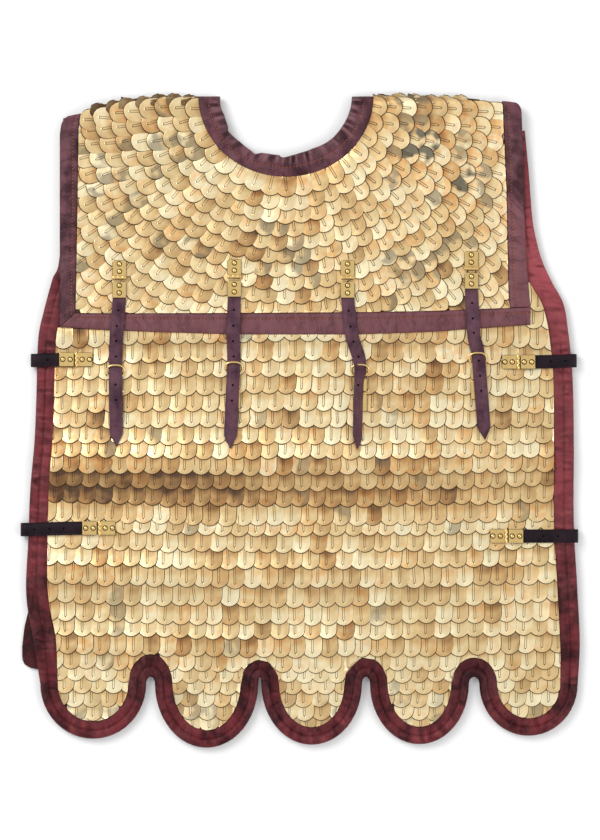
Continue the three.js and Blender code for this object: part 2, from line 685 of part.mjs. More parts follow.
function addStrap(name, { hinge, edge, ring, tip }, top, bottom) {
  const middle = [(ring[0] + tip[0]) / 2, (ring[1] + tip[1]) / 2];
  const corners = [[hinge[0], top], [hinge[0], bottom], [edge, FALL.edge], ring, middle, tip];
  const route = new THREE.SplineCurve(corners.map(([x, y]) => new THREE.Vector2(x, y)));
  const samples = route.getPoints(120);
  const [ringY, tipY] = [ring[1], tip[1]];
  const levels = [
    top, bottom, (bottom + FALL.edge) / 2, FALL.edge, FALL.soft, FALL.foot, FALL.settled,
    ringY - REST.dip, ringY - REST.risen, ringY - REST.middle, ringY - REST.leaves,
    ringY - REST.leaves - REST.down, tipY + STRAP.point, tipY + 2 * STRAP.blunt, tipY,
  ].filter((y, k, all) => k === 0 || all[k - 1] - y > 0.5);
  const stations = levels.map((y) => {
    const near = samples.reduce((best, p) => (Math.abs(p.y - y) < Math.abs(best.y - y) ? p : best));
    const narrow = THREE.MathUtils.clamp((y - tipY + STRAP.blunt) / STRAP.point, 0, 1);
    const half = (STRAP.width / 2) * Math.sqrt(narrow);
    return { outer: [near.x - half, y], inner: [near.x + half, y] };
  });
  const section = FLAT_BAND.map(([across, height]) => [across, height * STRAP.thick]);
  add(name, band(stations, section, (x, y) => strapUnder(y, ringY)), 'strap');
}

function addFrontStrap(set, number) {
  const [hx, hy] = set.hinge;
  const [rx, ry] = set.ring;
  const name = `front_strap_${number}`;
  const rest = YOKE_TOP + SEAM;
  const half = LEAF.long / 2;
  const apart = KNUCKLE.radius * (1 + LEAF.meet);
  const fixed = leaf(LEAF.long, half - RIVET.from, -KNUCKLE.radius);
  addPlate(`${name}_fixed_leaf`, fixed, hx, hy + apart + half - 1, rest);
  const second = hy - apart - half;
  const moving = leaf(LEAF.long, half - RIVET.from);
  addPlate(`${name}_moving_leaf`, moving, hx, second, rest + STRAP.thick + SEAM);
  addStrap(name, set, second + half - STRAP.under, second - half);

  const base = buckleBase(ry);
  const ring = add(`${name}_ring`, wireLoop(), 'brass');
  ring.position.set(rx, ry - WIRE.deep + WIRE.radius, base + (WIRE.high + WIRE.low) / 2);
  ring.rotation.x = Math.atan2(WIRE.high - WIRE.low, 2 * (WIRE.deep - WIRE.radius));
  const leafTop = ry - 2 * WIRE.deep - SEAM;
  const catchLeaf = leaf(BUCKLE.leaf, BUCKLE.leaf / 2 - BUCKLE.leafRivet);
  addPlate(`${name}_buckle_leaf`, catchLeaf, rx, leafTop - BUCKLE.leaf / 2, base);
  const plateTop = leafTop - BUCKLE.leaf - 2 * BUCKLE.knuckle - SEAM;
  const plate = leaf(BUCKLE.plate, BUCKLE.plate / 2 - BUCKLE.plateRivet, BUCKLE.knuckle);
  addPlate(`${name}_buckle_plate`, plate, rx, plateTop - BUCKLE.plate / 2, base);
}

function wireLoop() {
  const section = [];
  for (let k = 0; k < WIRE.sides; k += 1) {
    const turn = (2 * Math.PI * k) / WIRE.sides;
    section.push([WIRE.radius * Math.cos(turn), WIRE.radius * Math.sin(turn)]);
  }
  const positions = [];
  const triangles = [];
  for (let s = 0; s < WIRE.steps; s += 1) {
    const turn = (2 * Math.PI * s) / WIRE.steps;
    const round = (v) => Math.sign(v) * Math.abs(v) ** WIRE.squareness;
    for (const [out, up] of section) {
      const x = (WIRE.half - WIRE.radius + out) * round(Math.cos(turn));
      const y = (WIRE.deep - WIRE.radius + out) * round(Math.sin(turn));
      positions.push(x, y, up);
    }
    for (let k = 0; k < WIRE.sides; k += 1) {
      const a = s * WIRE.sides + k;
      const b = s * WIRE.sides + ((k + 1) % WIRE.sides);
      const step = s === WIRE.steps - 1 ? -s * WIRE.sides : WIRE.sides;
      triangles.push(a, b, b + step, a, b + step, a + step);
    }
  }
  return facingOut(positions, triangles);
}

function addSideStrap({ name, side, y, hinge, bend }) {
  const id = `side_strap_${name}`;
  const turn = side < 0 ? Math.PI / 2 : -Math.PI / 2;
  const half = SIDE.leaf / 2;
  const inside = hinge - side * (KNUCKLE.radius * LEAF.meet + half);
  const inner = leaf(SIDE.leaf, half - SIDE.innerRivet, KNUCKLE.radius);
  addPlate(`${id}_inner_leaf`, inner, inside, y, clearOfScales(y), turn);
  const outside = hinge + side * (KNUCKLE.radius + SEAM + half);
  const outer = leaf(SIDE.leaf, half - RIVET.from);
  addPlate(`${id}_outer_leaf`, outer, outside, y, SIDE.base + SIDE.thick + SEAM, turn);

  // The strap's outline seen from the neck, drawn to the right and then turned to its side
  const bendRadius = (SIDE.base + SIDE.thick) / 2;
  const end = side * bend - bendRadius;
  const start = side * outside - half + STRAP.under;
  const lowEnd = side * bend - SIDE.under;
  const shape = new THREE.Shape();
  shape.moveTo(start, SIDE.base);
  shape.lineTo(start, SIDE.base + SIDE.thick);
  shape.lineTo(end, SIDE.base + SIDE.thick);
  shape.absarc(end, bendRadius, bendRadius, Math.PI / 2, -Math.PI / 2, true);
  shape.lineTo(lowEnd, 0);
  shape.lineTo(lowEnd, SIDE.thick);
  shape.lineTo(end, SIDE.thick);
  shape.absarc(end, bendRadius, bendRadius - SIDE.thick, -Math.PI / 2, Math.PI / 2, false);
  const cut = { depth: STRAP.width, bevelEnabled: false, curveSegments: 5 };
  const standing = new THREE.Matrix4().makeBasis(
    new THREE.Vector3(side, 0, 0), new THREE.Vector3(0, 0, 1), new THREE.Vector3(0, -side, 0),
  );
  const loop = new THREE.ExtrudeGeometry(shape, cut).applyMatrix4(standing);
  add(id, geometryOf(solid(loop.translate(0, y + (side * STRAP.width) / 2, 0))), 'strap');

  const near = side * (lowEnd - SEAM);
  const far = side * (lowEnd - SEAM - SIDE.plate);
  const wide = half - SIDE.plateInset;
  const [x0, x1] = [Math.min(near, far), Math.max(near, far)];
  add(`${id}_back_plate`, box(x0, x1, y - wide, y + wide, 0, SIDE.thick), 'brass');
}

addPanels();
addBindings();
addYoke();
FRONT_STRAPS.forEach((set, k) => addFrontStrap(set, k + 1));
SIDE_STRAPS.forEach(addSideStrap);

// The origin is under the middle of the whole
const whole = new THREE.Box3().setFromObject(armour);
armour.position.set(-(whole.min.x + whole.max.x) / 2, -(whole.min.y + whole.max.y) / 2, -whole.min.z);

export default armour;
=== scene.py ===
"""Scale armour laid flat: brass scales on leather, leather bindings, hinged straps and their stage."""

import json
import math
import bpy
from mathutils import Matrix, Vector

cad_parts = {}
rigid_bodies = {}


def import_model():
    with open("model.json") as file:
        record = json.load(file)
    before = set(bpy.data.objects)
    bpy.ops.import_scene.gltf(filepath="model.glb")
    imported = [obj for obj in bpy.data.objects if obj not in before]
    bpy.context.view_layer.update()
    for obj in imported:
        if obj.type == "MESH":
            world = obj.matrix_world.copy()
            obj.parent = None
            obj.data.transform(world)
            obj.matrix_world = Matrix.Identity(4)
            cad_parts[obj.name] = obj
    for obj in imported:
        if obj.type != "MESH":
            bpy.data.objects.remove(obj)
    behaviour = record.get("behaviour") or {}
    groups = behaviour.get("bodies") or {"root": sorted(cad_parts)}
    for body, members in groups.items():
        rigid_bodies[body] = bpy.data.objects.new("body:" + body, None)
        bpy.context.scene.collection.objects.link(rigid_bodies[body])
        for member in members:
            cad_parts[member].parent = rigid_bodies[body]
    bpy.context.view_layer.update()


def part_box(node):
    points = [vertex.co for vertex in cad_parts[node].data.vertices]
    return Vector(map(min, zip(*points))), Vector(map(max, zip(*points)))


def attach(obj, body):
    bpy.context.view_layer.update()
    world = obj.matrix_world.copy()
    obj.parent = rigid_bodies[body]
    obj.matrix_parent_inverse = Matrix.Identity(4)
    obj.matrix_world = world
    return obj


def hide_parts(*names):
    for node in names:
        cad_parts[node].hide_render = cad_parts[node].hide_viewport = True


bl_info = {
    "name": "Scale armour",
    "version": (1, 0, 0),
    "blender": (4, 5, 0),
    "location": "View3D > Sidebar > Armour",
    "description": "Dresses a flat-laid scale armour with scales, bindings, straps and hinges",
    "category": "Object",
}

import bpy
import numpy as np
from mathutils import Vector

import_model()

# Layers, in metres, as the solids have them
SEAM = 0.0003
BACK_WALL = 0.0036
BACK_YOKE_WALL = 0.0034
FRONT_WALL = 0.0032
RELIEF = 0.0028
YOKE_STEP = BACK_YOKE_WALL + SEAM
FRONT_BASE = BACK_WALL + SEAM
YOKE_BASE = YOKE_STEP + FRONT_BASE + FRONT_WALL + SEAM
YOKE_MIDDLE = YOKE_STEP + FRONT_BASE
YOKE_TOP = YOKE_BASE + FRONT_WALL + RELIEF
RAMP_TOP = 0.099
RAMP_FOOT = 0.082
SHOULDER = 0.3864
# How far leather and scales turn at the shoulders' fold
YOKE_LEATHER_TURN = 0.0065
YOKE_SCALES_TURN = 0.0060
BACK_TURN = 0.0036
# The back's leather: its thickness, and how high its top lies
BACK_LEATHER = 0.0022
BACK_LEATHER_TOP = 0.0034
# The drawing's middle is not the armour's, so every piece is moved up by this much
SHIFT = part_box("neck_trim_front")[1][1] - SHOULDER

# Folds across the body: the ridge's level, its rise and how far it reaches to each side
FOLDS = (
    {"y": -0.052, "lift": 0.0040, "reach": 0.038},
    {"y": -0.188, "lift": 0.0026, "reach": 0.036},
    {"y": -0.272, "lift": 0.0018, "reach": 0.028},
)

# Outer side edges (y, x, width of the binding)
LEFT_EDGE = (
    (0.3606, -0.2856, 0.0228), (0.2022, -0.2880, 0.0228), (0.1662, -0.2976, 0.0228),
    (0.1302, -0.3072, 0.0228), (0.0942, -0.3144, 0.0224), (0.0222, -0.3168, 0.0222),
    (-0.0318, -0.3192, 0.0224), (-0.0858, -0.3240, 0.0230), (-0.1458, -0.3264, 0.0240),
    (-0.2118, -0.3288, 0.0275), (-0.2658, -0.3204, 0.0290), (-0.3183, -0.3120, 0.0220),
)
RIGHT_EDGE = (
    (0.3454, 0.2700, 0.0228), (0.2927, 0.2748, 0.0230), (0.2430, 0.2786, 0.0240),
    (0.2183, 0.2827, 0.0250), (0.1914, 0.2899, 0.0270), (0.1645, 0.3019, 0.0280),
    (0.1386, 0.3158, 0.0270), (0.1088, 0.3214, 0.0245), (0.0558, 0.3270, 0.0240),
    (-0.0138, 0.3288, 0.0250), (-0.1218, 0.3288, 0.0250), (-0.1938, 0.3324, 0.0250),
    (-0.2658, 0.3360, 0.0250), (-0.3183, 0.3336, 0.0220),
)
# Hem lobes (middle, half width, bottom)
LOBES = (
    (-0.2484, 0.0636, -0.3846), (-0.1122, 0.0620, -0.3954), (0.0140, 0.0604, -0.3918),
    (0.1434, 0.0594, -0.3912), (0.2745, 0.0591, -0.3810),
)
LOBE_SIDE = -0.3186
HEM_WIDTH = 0.022
SIDE_WIDTH = 0.024
# Height of the arches between the lobes, and of the binding's upper edge over each from the left
ARCH_HEIGHT = 0.0084
ARCH_CROWNS = (0.0370, 0.0300, 0.0328, 0.0328)
# The side bindings start under the yoke's trims
BINDING_TOP = 0.350
# Where the front straps leave the yoke's lower edge
YOKE_END = 0.101
# The back panel is a little smaller, and its left hip corner stands out beyond the front's
BACK_INSET = 0.0015
HIP_FROM = -0.216
HIP_CORNER = (
    ((-0.3250, -0.2260), (-0.3061, -0.2290)), ((-0.3308, -0.2500), (-0.3061, -0.2500)),
    ((-0.3336, -0.2740), (-0.3063, -0.2620)), ((-0.3334, -0.2890), (-0.3065, -0.2712)),
)
HIP_HEM = (
    ((-0.3333, -0.2893), (-0.3065, -0.2714)), ((-0.3302, -0.2962), (-0.3045, -0.2728)),
    ((-0.3220, -0.2998), (-0.2990, -0.2736)), ((-0.3060, -0.3020), (-0.2900, -0.2745)),
    ((-0.2890, -0.3380), (-0.2700, -0.3180)),
)

# Yoke: the neck's middle and half sizes, then the edges from pairs of outer and inner places
NECK_X = -0.0168
NECK_OUTER = (0.105, 0.0966)
NECK_INNER = (0.079, 0.072)
YOKE_LEFT = (
    ((-0.2785, 0.3622), (-0.2626, 0.3655)), ((-0.2826, 0.3600), (-0.2630, 0.3640)),
    ((-0.2862, 0.3530), (-0.2638, 0.3570)), ((-0.2880, 0.3410), (-0.2652, 0.3450)),
    ((-0.2880, 0.2200), (-0.2670, 0.2200)), ((-0.2880, 0.1105), (-0.2688, 0.1263)),
)
YOKE_RIGHT = (
    ((0.2762, 0.1341), (0.2502, 0.1331)), ((0.2724, 0.1780), (0.2490, 0.1780)),
    ((0.2688, 0.2500), (0.2472, 0.2740)), ((0.2664, 0.3460), (0.2436, 0.3500)),
    ((0.2656, 0.3690), (0.2428, 0.3710)), ((0.2636, 0.3752), (0.2426, 0.3770)),
    ((0.2595, 0.3784), (0.2424, 0.3806)),
)
YOKE_BOTTOM = (
    ((-0.2876, 0.1098), (-0.2688, 0.1260)), ((-0.2280, 0.1056), (-0.2280, 0.1260)),
    ((-0.0840, 0.1009), (-0.0840, 0.1264)), ((0.0000, 0.1009), (0.0000, 0.1270)),
    ((0.0720, 0.1009), (0.0720, 0.1274)), ((0.1600, 0.1040), (0.1600, 0.1290)),
    ((0.2520, 0.1110), (0.2520, 0.1326)), ((0.2760, 0.1122), (0.2760, 0.1335)),
)
YOKE_EDGES = {"left": YOKE_LEFT, "right": YOKE_RIGHT, "bottom": YOKE_BOTTOM}

# Sections of the leather edges: share of the width from the outer edge, and height in metres
WELT = (
    (0.03, 0.0003), (0.00, 0.0016), (0.00, 0.0034), (0.03, 0.0050), (0.09, 0.0062), (0.17, 0.0068),
    (0.27, 0.0069), (0.36, 0.0064), (0.42, 0.0055), (0.455, 0.0044), (0.47, 0.0040), (0.49, 0.0042),
    (0.52, 0.0048), (0.62, 0.0053), (0.78, 0.0054), (0.92, 0.0050), (0.99, 0.0044), (1.02, 0.0036),
    (1.0, 0.0003),
)
TRIM = (
    (0.02, 0.0003), (0.00, 0.0014), (0.00, 0.0030), (0.04, 0.0042), (0.12, 0.0050), (0.30, 0.0054),
    (0.50, 0.0055), (0.62, 0.0054), (0.68, 0.0050), (0.71, 0.0044), (0.74, 0.0050), (0.80, 0.0054),
    (0.90, 0.0053), (0.97, 0.0046), (1.00, 0.0038), (1.0, 0.0003),
)
NECK = (
    (0.02, 0.0003), (0.00, 0.0040), (0.01, 0.0076), (0.08, 0.0083), (0.20, 0.0090), (0.34, 0.0094),
    (0.42, 0.0092), (0.455, 0.0086), (0.49, 0.0092), (0.56, 0.0100), (0.68, 0.0105), (0.80, 0.0101),
    (0.90, 0.0090), (0.97, 0.0070), (1.00, 0.0045), (1.0, 0.0020), (0.98, 0.0003),
)
# The back's edges lie flat on the floor: creased underneath, smooth above
FLAT_EDGE = (
    (0.00, 0.00), (-0.02, 0.25), (-0.02, 0.75), (0.01, 1.0), (0.99, 1.0), (1.0, 0.6), (1.0, 0.2),
    (0.99, 0.02), (0.80, 0.0), (0.72, 0.12), (0.64, 0.0), (0.40, 0.0), (0.10, 0.0),
)
# How far the gathers move the neck trim's inner edge outwards, by degrees round it from its right end
NECK_GATHERS = (
    (0, 0.0), (20, -0.0006), (29, -0.0010), (42, -0.0008), (50, -0.0014), (63, -0.0032), (76, -0.0026),
    (84, -0.0012), (93.5, 0.0016), (97, -0.0014), (108, -0.0006), (114, 0.0008), (118, 0.0052),
    (123, 0.0034), (135, 0.0022), (149, 0.0038), (153, 0.0006), (163, -0.0012), (170, 0.0004), (180, 0.0),
)
# Depth of a crease whose painted shade is darkest, and the width that an edge has in its surface
# coordinates
FULL_CREASE = 0.0016
SURFACE_WIDTH = 0.02
# Where the stitches run: across from the outer edge, and height
TRIM_STITCH = (0.71, 0.0049)
NECK_STITCH = (0.455, 0.0091)

# Hardware: leaves, rivets and knuckles, then the leaf and plate of a catch
LEAF_WIDTH = 0.017
LEAF_LONG = 0.0195
LEAF_THICK = 0.0015
RIVET_RADIUS = 0.0025
RIVET_STEP = 0.009
KNUCKLE_RADIUS = 0.0023
BUCKLE_LEAF = 0.0154
BUCKLE_PLATE = 0.0205
BUCKLE_KNUCKLE = 0.0016
# Wire rings: half their width and depth, the wire, and how high their upper and lower side lie
RING_HALF = 0.0114
RING_DEEP = 0.0082
WIRE_RADIUS = 0.0012
RING_HIGH = 0.0050
RING_LOW = 0.0012
# Straps: thickness, and radius and depth of their holes
STRAP_THICK = 0.0022
HOLE_RADIUS = 0.0014
HOLE_DEEP = 0.004
# How high a strap passes over its leaves, and the length of its point
OVER_LEAVES = 0.0036
POINT = 0.015
# How far inside the end of its leaf a strap starts
STRAP_LAP = 0.003
# How far below its ring a strap lies on the leaves, and the length over which it comes down
LEAVES_REACH = 0.060
LEAVES_FALL = 0.014

# Straps down the front: hinge, x at the yoke's edge, ring, point, holes' y and the lower part's roll (rad)
FRONT_STRAPS = (
    {"hinge": (-0.2162, 0.1674), "edge": -0.2199, "ring": (-0.2210, 0.0642), "tip": (-0.2204, -0.0330),
     "holes": (0.1295, 0.1106, 0.0928, 0.0744, 0.0406, 0.0222), "roll": 0.0},
    {"hinge": (-0.0786, 0.1686), "edge": -0.0801, "ring": (-0.0794, 0.0678), "tip": (-0.0840, -0.0354),
     "holes": (0.1300, 0.1110, 0.0925, 0.0745, 0.0400, 0.0215), "roll": 0.0},
    {"hinge": (0.0570, 0.1674), "edge": 0.0618, "ring": (0.0720, 0.0648), "tip": (0.0706, -0.0361),
     "holes": (0.1290, 0.1100, 0.0920, 0.0740, 0.0400), "roll": 0.85},
    {"hinge": (0.2052, 0.1782), "edge": 0.2082, "ring": (0.2132, 0.0790), "tip": (0.2220, -0.0251),
     "holes": (0.1381, 0.1198, 0.1026, 0.0690, 0.0510, 0.0332), "roll": 0.0},
)
# Straps round the sides: side, level, hinge line, end of the bend, drop towards that end, and holes
SIDE_STRAPS = (
    {"name": "left_upper", "side": -1, "y": 0.0708, "hinge": -0.2682, "bend": -0.3234, "drop": 0.0012,
     "holes": (-0.3030,)},
    {"name": "left_lower", "side": -1, "y": -0.1314, "hinge": -0.2407, "bend": -0.3356, "drop": 0.0020,
     "holes": (-0.2836, -0.3005, -0.3184)},
    {"name": "right_upper", "side": 1, "y": 0.0678, "hinge": 0.2616, "bend": 0.3324, "drop": -0.0016,
     "holes": (0.3005, 0.3184)},
    {"name": "right_lower", "side": 1, "y": -0.1410, "hinge": 0.2472, "bend": 0.3342, "drop": 0.0,
     "holes": (0.2916, 0.3091)},
)
# Their underside's level, thickness, the length of their leaves and of their run underneath
SIDE_BASE = 0.0114
SIDE_THICK = 0.0020
SIDE_LEAF = 0.018
SIDE_UNDER = 0.062


# Curves and heights


def between(table, value, column):
    """A column of a table at a value of its first column."""
    rows = sorted(table)
    return np.interp(value, [row[0] for row in rows], [row[column] for row in rows])


def spline(points, count):
    """Points along a smooth curve through the given ones."""
    p = np.array(points, float)
    last = len(p) - 1
    t = np.linspace(0, last, count + 1)
    i = np.minimum(t.astype(int), last - 1)
    w = (t - i)[:, None]
    p0, p1 = p[np.maximum(i - 1, 0)], p[i]
    p2, p3 = p[i + 1], p[np.minimum(i + 2, last)]
    v0, v1 = (p2 - p0) / 2, (p3 - p1) / 2
    cubic = (2 * p1 - 2 * p2 + v0 + v1) * w**3 + (-3 * p1 + 3 * p2 - 2 * v0 - v1) * w**2
    return cubic + v0 * w + p1


def fold_lift(y):
    y = np.asarray(y, float)
    lift = np.zeros_like(y)
    for fold in FOLDS:
        away = np.minimum(np.abs(y - fold["y"]) / fold["reach"], 1)
        lift = lift + fold["lift"] * np.cos(away * math.pi / 2) ** 2
    return lift


def ramp(y):
    return YOKE_STEP * np.clip((np.asarray(y) - RAMP_FOOT) / (RAMP_TOP - RAMP_FOOT), 0, 1)


def front_under(y):
    return FRONT_BASE + ramp(y) + fold_lift(y) / 2


def front_top(y):
    return FRONT_BASE + FRONT_WALL + ramp(y) + fold_lift(y)


def clear_of_scales(y):
    return front_top(y) + RELIEF + 2 * SEAM


def side_stations(table, side):
    xy = spline([(x, y) for y, x, _ in table], 120)
    width = between(table, xy[:, 1], 2)
    inner = np.stack([xy[:, 0] - side * width, xy[:, 1]], 1)
    return xy, inner


def hem_stations():
    outer, inner = [], []
    for k, (x, half, bottom) in enumerate(LOBES):
        for step in range(25):
            turn = math.pi * step / 24
            for line, shrink in ((outer, 0), (inner, HEM_WIDTH)):
                line.append((x - (half - shrink) * math.cos(turn),
                             LOBE_SIDE + (bottom + shrink - LOBE_SIDE) * math.sin(turn)))
        if k + 1 == len(LOBES):
            break
        left, right = x + half, LOBES[k + 1][0] - LOBES[k + 1][1]
        middle, gap = (left + right) / 2, (right - left) / 2
        for step in range(1, 12):
            turn = math.pi * step / 12
            outer.append((middle - gap * math.cos(turn), LOBE_SIDE + ARCH_HEIGHT * math.sin(turn)))
            inner.append((middle - (gap + HEM_WIDTH) * math.cos(turn),
                          LOBE_SIDE + ARCH_CROWNS[k] * math.sin(turn)))
    return np.array(outer), np.array(inner)


def neck_stations(count=140):
    turn = math.pi * (1 + np.arange(count + 1) / count)
    lines = []
    for rx, ry in (NECK_OUTER, NECK_INNER):
        lines.append(np.stack([NECK_X + rx * np.cos(turn), SHOULDER + ry * np.sin(turn)], 1))
    return lines


def gathered(inner, least=-1.0, more=0.0):
    """The neck's inner edge moved by its gathers, none below least, and by up to more besides."""
    spoke = inner - (NECK_X, SHOULDER)
    turn = np.degrees(np.arctan2(-spoke[:, 1], spoke[:, 0]))
    out = np.interp(turn, [row[0] for row in NECK_GATHERS], [row[1] for row in NECK_GATHERS])
    out = np.maximum(out, least) + more * np.sin(np.radians(turn))
    return inner + spoke / np.linalg.norm(spoke, axis=1)[:, None] * out[:, None]


def length_of(line):
    return np.linalg.norm(np.diff(line, axis=0), axis=1).sum()


def two_lines(table):
    """The outer and the inner line of a table of pairs."""
    return np.array(table).swapaxes(0, 1)


def resampled(outer, inner, step):
    """Stations at even steps along the middle of the two lines."""
    middle = (outer + inner) / 2
    length = np.concatenate([[0], np.cumsum(np.linalg.norm(np.diff(middle, axis=0), axis=1))])
    at = np.linspace(0, length[-1], max(2, round(length[-1] / step)) + 1)

    def along(line):
        return np.stack([np.interp(at, length, line[:, i]) for i in range(2)], 1)

    return along(outer), along(inner), at


# Making meshes


def choose_none():
    if bpy.context.object is not None and bpy.context.object.mode != "OBJECT":
        bpy.ops.object.mode_set(mode="OBJECT")
    bpy.ops.object.select_all(action="DESELECT")


def choose(obj):
    choose_none()
    bpy.context.view_layer.objects.active = obj
    obj.select_set(True)


def finished(obj, material, smooth=40):
    """Gives the piece its material, rides the body and shades the piece."""
    choose(obj)
    if material is not None:
        obj.data.materials.clear()
        obj.data.materials.append(material)
    if smooth:
        bpy.ops.object.shade_smooth_by_angle(angle=math.radians(smooth))
    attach(obj, "root")
    choose_none()
    return obj


def mesh_object(name, points, faces, uv=None, values=None):
    """An object from arrays of points and faces, moved to the armour's place."""
    mesh = bpy.data.meshes.new(name)
    moved = np.array(points, float) + np.array([0, SHIFT, 0])
    mesh.from_pydata(moved.tolist(), [], [tuple(int(i) for i in face) for face in faces])
    mesh.update()
    obj = bpy.data.objects.new(name, mesh)
    bpy.context.scene.collection.objects.link(obj)
    corner = np.zeros(len(mesh.loops), np.int32)
    mesh.loops.foreach_get("vertex_index", corner)
    if uv is not None:
        layer = mesh.uv_layers.new(name="surface")
        layer.data.foreach_set("uv", np.asarray(uv, np.float32)[corner].ravel())
    for key, data in (values or {}).items():
        attribute = mesh.attributes.new(key, "FLOAT", "POINT")
        attribute.data.foreach_set("value", np.asarray(data, np.float32))
    return obj


def points_of(mesh):
    """The x, y and z of a mesh's points."""
    points = np.zeros(len(mesh.vertices) * 3, np.float32)
    mesh.vertices.foreach_get("co", points)
    return points.reshape(-1, 3)


def tube(name, points, count, around, uv=None, values=None):
    """A closed mesh through a count of rings, each of as many points as around, faced outwards."""
    s, k = np.meshgrid(np.arange(count - 1), np.arange(around), indexing="ij")
    a, b = s * around + k, s * around + (k + 1) % around
    faces = np.stack([a, b, b + around, a + around], -1).reshape(-1, 4).tolist()
    faces.append(list(range(around))[::-1])
    faces.append(list(range((count - 1) * around, count * around)))
    obj = mesh_object(name, points, faces, uv=uv, values=values)
    choose(obj)
    bpy.ops.object.mode_set(mode="EDIT")
    bpy.ops.mesh.select_all(action="SELECT")
    bpy.ops.mesh.normals_make_consistent(inside=False)
    bpy.ops.object.mode_set(mode="OBJECT")
    return obj


def sweep(name, outer, inner, section, bottom, wrinkle=None, squeeze=None, step=0.004, pale=None,
          gloom=None):
    """A closed leather edge through stations, creases pressed in and marked for painted shade in their
    valleys and painted highlight on their ridges; pale and gloom make parts paler and darker.
    """
    outer, inner, at = resampled(outer, inner, step)
    across = np.array([s[0] for s in section])
    height = np.array([s[1] for s in section])
    xy = outer[:, None, :] * (1 - across)[None, :, None] + inner[:, None, :] * across[None, :, None]
    tall = np.broadcast_to(height, (len(at), len(height))).copy()
    if squeeze is not None:
        tall *= squeeze(outer[:, 1])[:, None]
    valley = np.zeros_like(tall)
    if wrinkle is not None:
        top = height / height.max()
        pressed = wrinkle(at, across) * top[None, :]
        tall = tall - pressed
        valley = np.clip(pressed / FULL_CREASE, -0.4, 1.0)
    z = bottom(xy[..., 1]) + np.maximum(tall, 0.0001)
    points = np.concatenate([xy, z[..., None]], 2).reshape(-1, 3)
    count, around = len(at), len(section)
    uv = np.stack(np.broadcast_arrays(at[:, None], across[None, :] * SURFACE_WIDTH), -1).reshape(-1, 2)
    paler = np.zeros(count) if pale is None else pale(outer[:, 1])
    if gloom is not None:
        valley += gloom(outer[:, 1])[:, None]
    values = {"pale": np.repeat(paler, around), "valley": valley.ravel()}
    return tube(name, points, count, around, uv, values)


def creases(seed, length, spacing, depth, reach, slant, keep=None):
    """Uneven creases across a leather edge; keep limits them to a part of its width."""
    rng = np.random.default_rng(seed)
    rows = []
    place = spacing * rng.uniform(0.3, 1.0)
    while place < length:
        rows.append((place, depth * rng.uniform(0.25, 1.0), reach * rng.uniform(0.6, 1.5),
                     slant * rng.uniform(-1, 1), rng.uniform(0, 1), rng.uniform(0.35, 1.0)))
        place += spacing * rng.uniform(0.35, 1.8)

    def pressed(at, across):
        total = np.zeros((len(at), len(across)))
        for place, deep, wide, lean, start, share in rows:
            away = (at[:, None] - place - lean * (across[None, :] - 0.5)) / wide
            middle = keep if keep is not None else 0.2 + 0.6 * start
            fade = np.exp(-((across - middle) / share) ** 2 * 4)[None, :]
            total += deep * np.exp(-(away**2)) * fade
            total -= 0.35 * deep * np.exp(-((np.abs(away) - 1.8) ** 2)) * fade
        return total

    return pressed


# Material helpers


class Paint:
    """A node tree, and short ways to add nodes to it."""

    def __init__(self, tree):
        self.tree = tree

    def put(self, socket, value):
        """Sets a socket to a number, a vector or a colour, or links an output to it."""
        if isinstance(value, bpy.types.NodeSocket):
            self.tree.links.new(value, socket)
        elif isinstance(value, tuple) and socket.type == "RGBA":
            socket.default_value = (*value, 1)
        else:
            socket.default_value = value

    def fill(self, node, **values):
        """Gives a node its inputs; an underscore stands for a space in their names."""
        for key, value in values.items():
            self.put(node.inputs[key.replace("_", " ")], value)
        return node

    def add(self, kind, **values):
        return self.fill(self.tree.nodes.new("ShaderNode" + kind), **values)

    def group(self, tree, output, **values):
        node = self.add("Group")
        node.node_tree = tree
        return self.fill(node, **values).outputs[output]

    def math(self, operation, *values, clamp=False):
        node = self.add("Math")
        node.operation = operation
        node.use_clamp = clamp
        for socket, value in zip(node.inputs, values):
            self.put(socket, value)
        return node.outputs[0]

    def scaled(self, source, factor, offset, clamp=False):
        return self.math("MULTIPLY_ADD", source, factor, offset, clamp=clamp)

    def mix(self, factor, first, second, blend="MIX"):
        node = self.add("Mix")
        node.data_type = "RGBA"
        node.blend_type = blend
        for place, value in ((0, factor), (6, first), (7, second)):
            self.put(node.inputs[place], value)
        return node.outputs[2]

    def coordinates(self):
        return self.add("TexCoord").outputs["Object"]

    def surface(self):
        node = self.add("UVMap")
        node.uv_map = "surface"
        return node.outputs["UV"]

    def attribute(self, key):
        node = self.add("Attribute")
        node.attribute_name = key
        return node.outputs["Fac"]

    def noise(self, place, scale, detail=2.0, roughness=0.5):
        node = self.add("TexNoise", Vector=place, Scale=scale, Detail=detail, Roughness=roughness)
        return node.outputs["Fac"]

    def cracks(self, place, scale):
        """How far a point is from the edges of small cells."""
        node = self.add("TexVoronoi")
        node.feature = "DISTANCE_TO_EDGE"
        return self.fill(node, Vector=place, Scale=scale).outputs["Distance"]

    def ramp(self, factor, stops):
        """A colour from a row of positions and their colours."""
        node = self.add("ValToRGB", Fac=factor)
        elements = node.color_ramp.elements
        for element, (position, colour) in zip(elements, (stops[0], stops[-1])):
            element.position = position
            element.color = (*colour, 1)
        for position, colour in stops[1:-1]:
            elements.new(position).color = (*colour, 1)
        return node.outputs["Color"]

    def bump(self, height, strength, distance):
        return self.add("Bump", Strength=strength, Distance=distance, Height=height).outputs["Normal"]


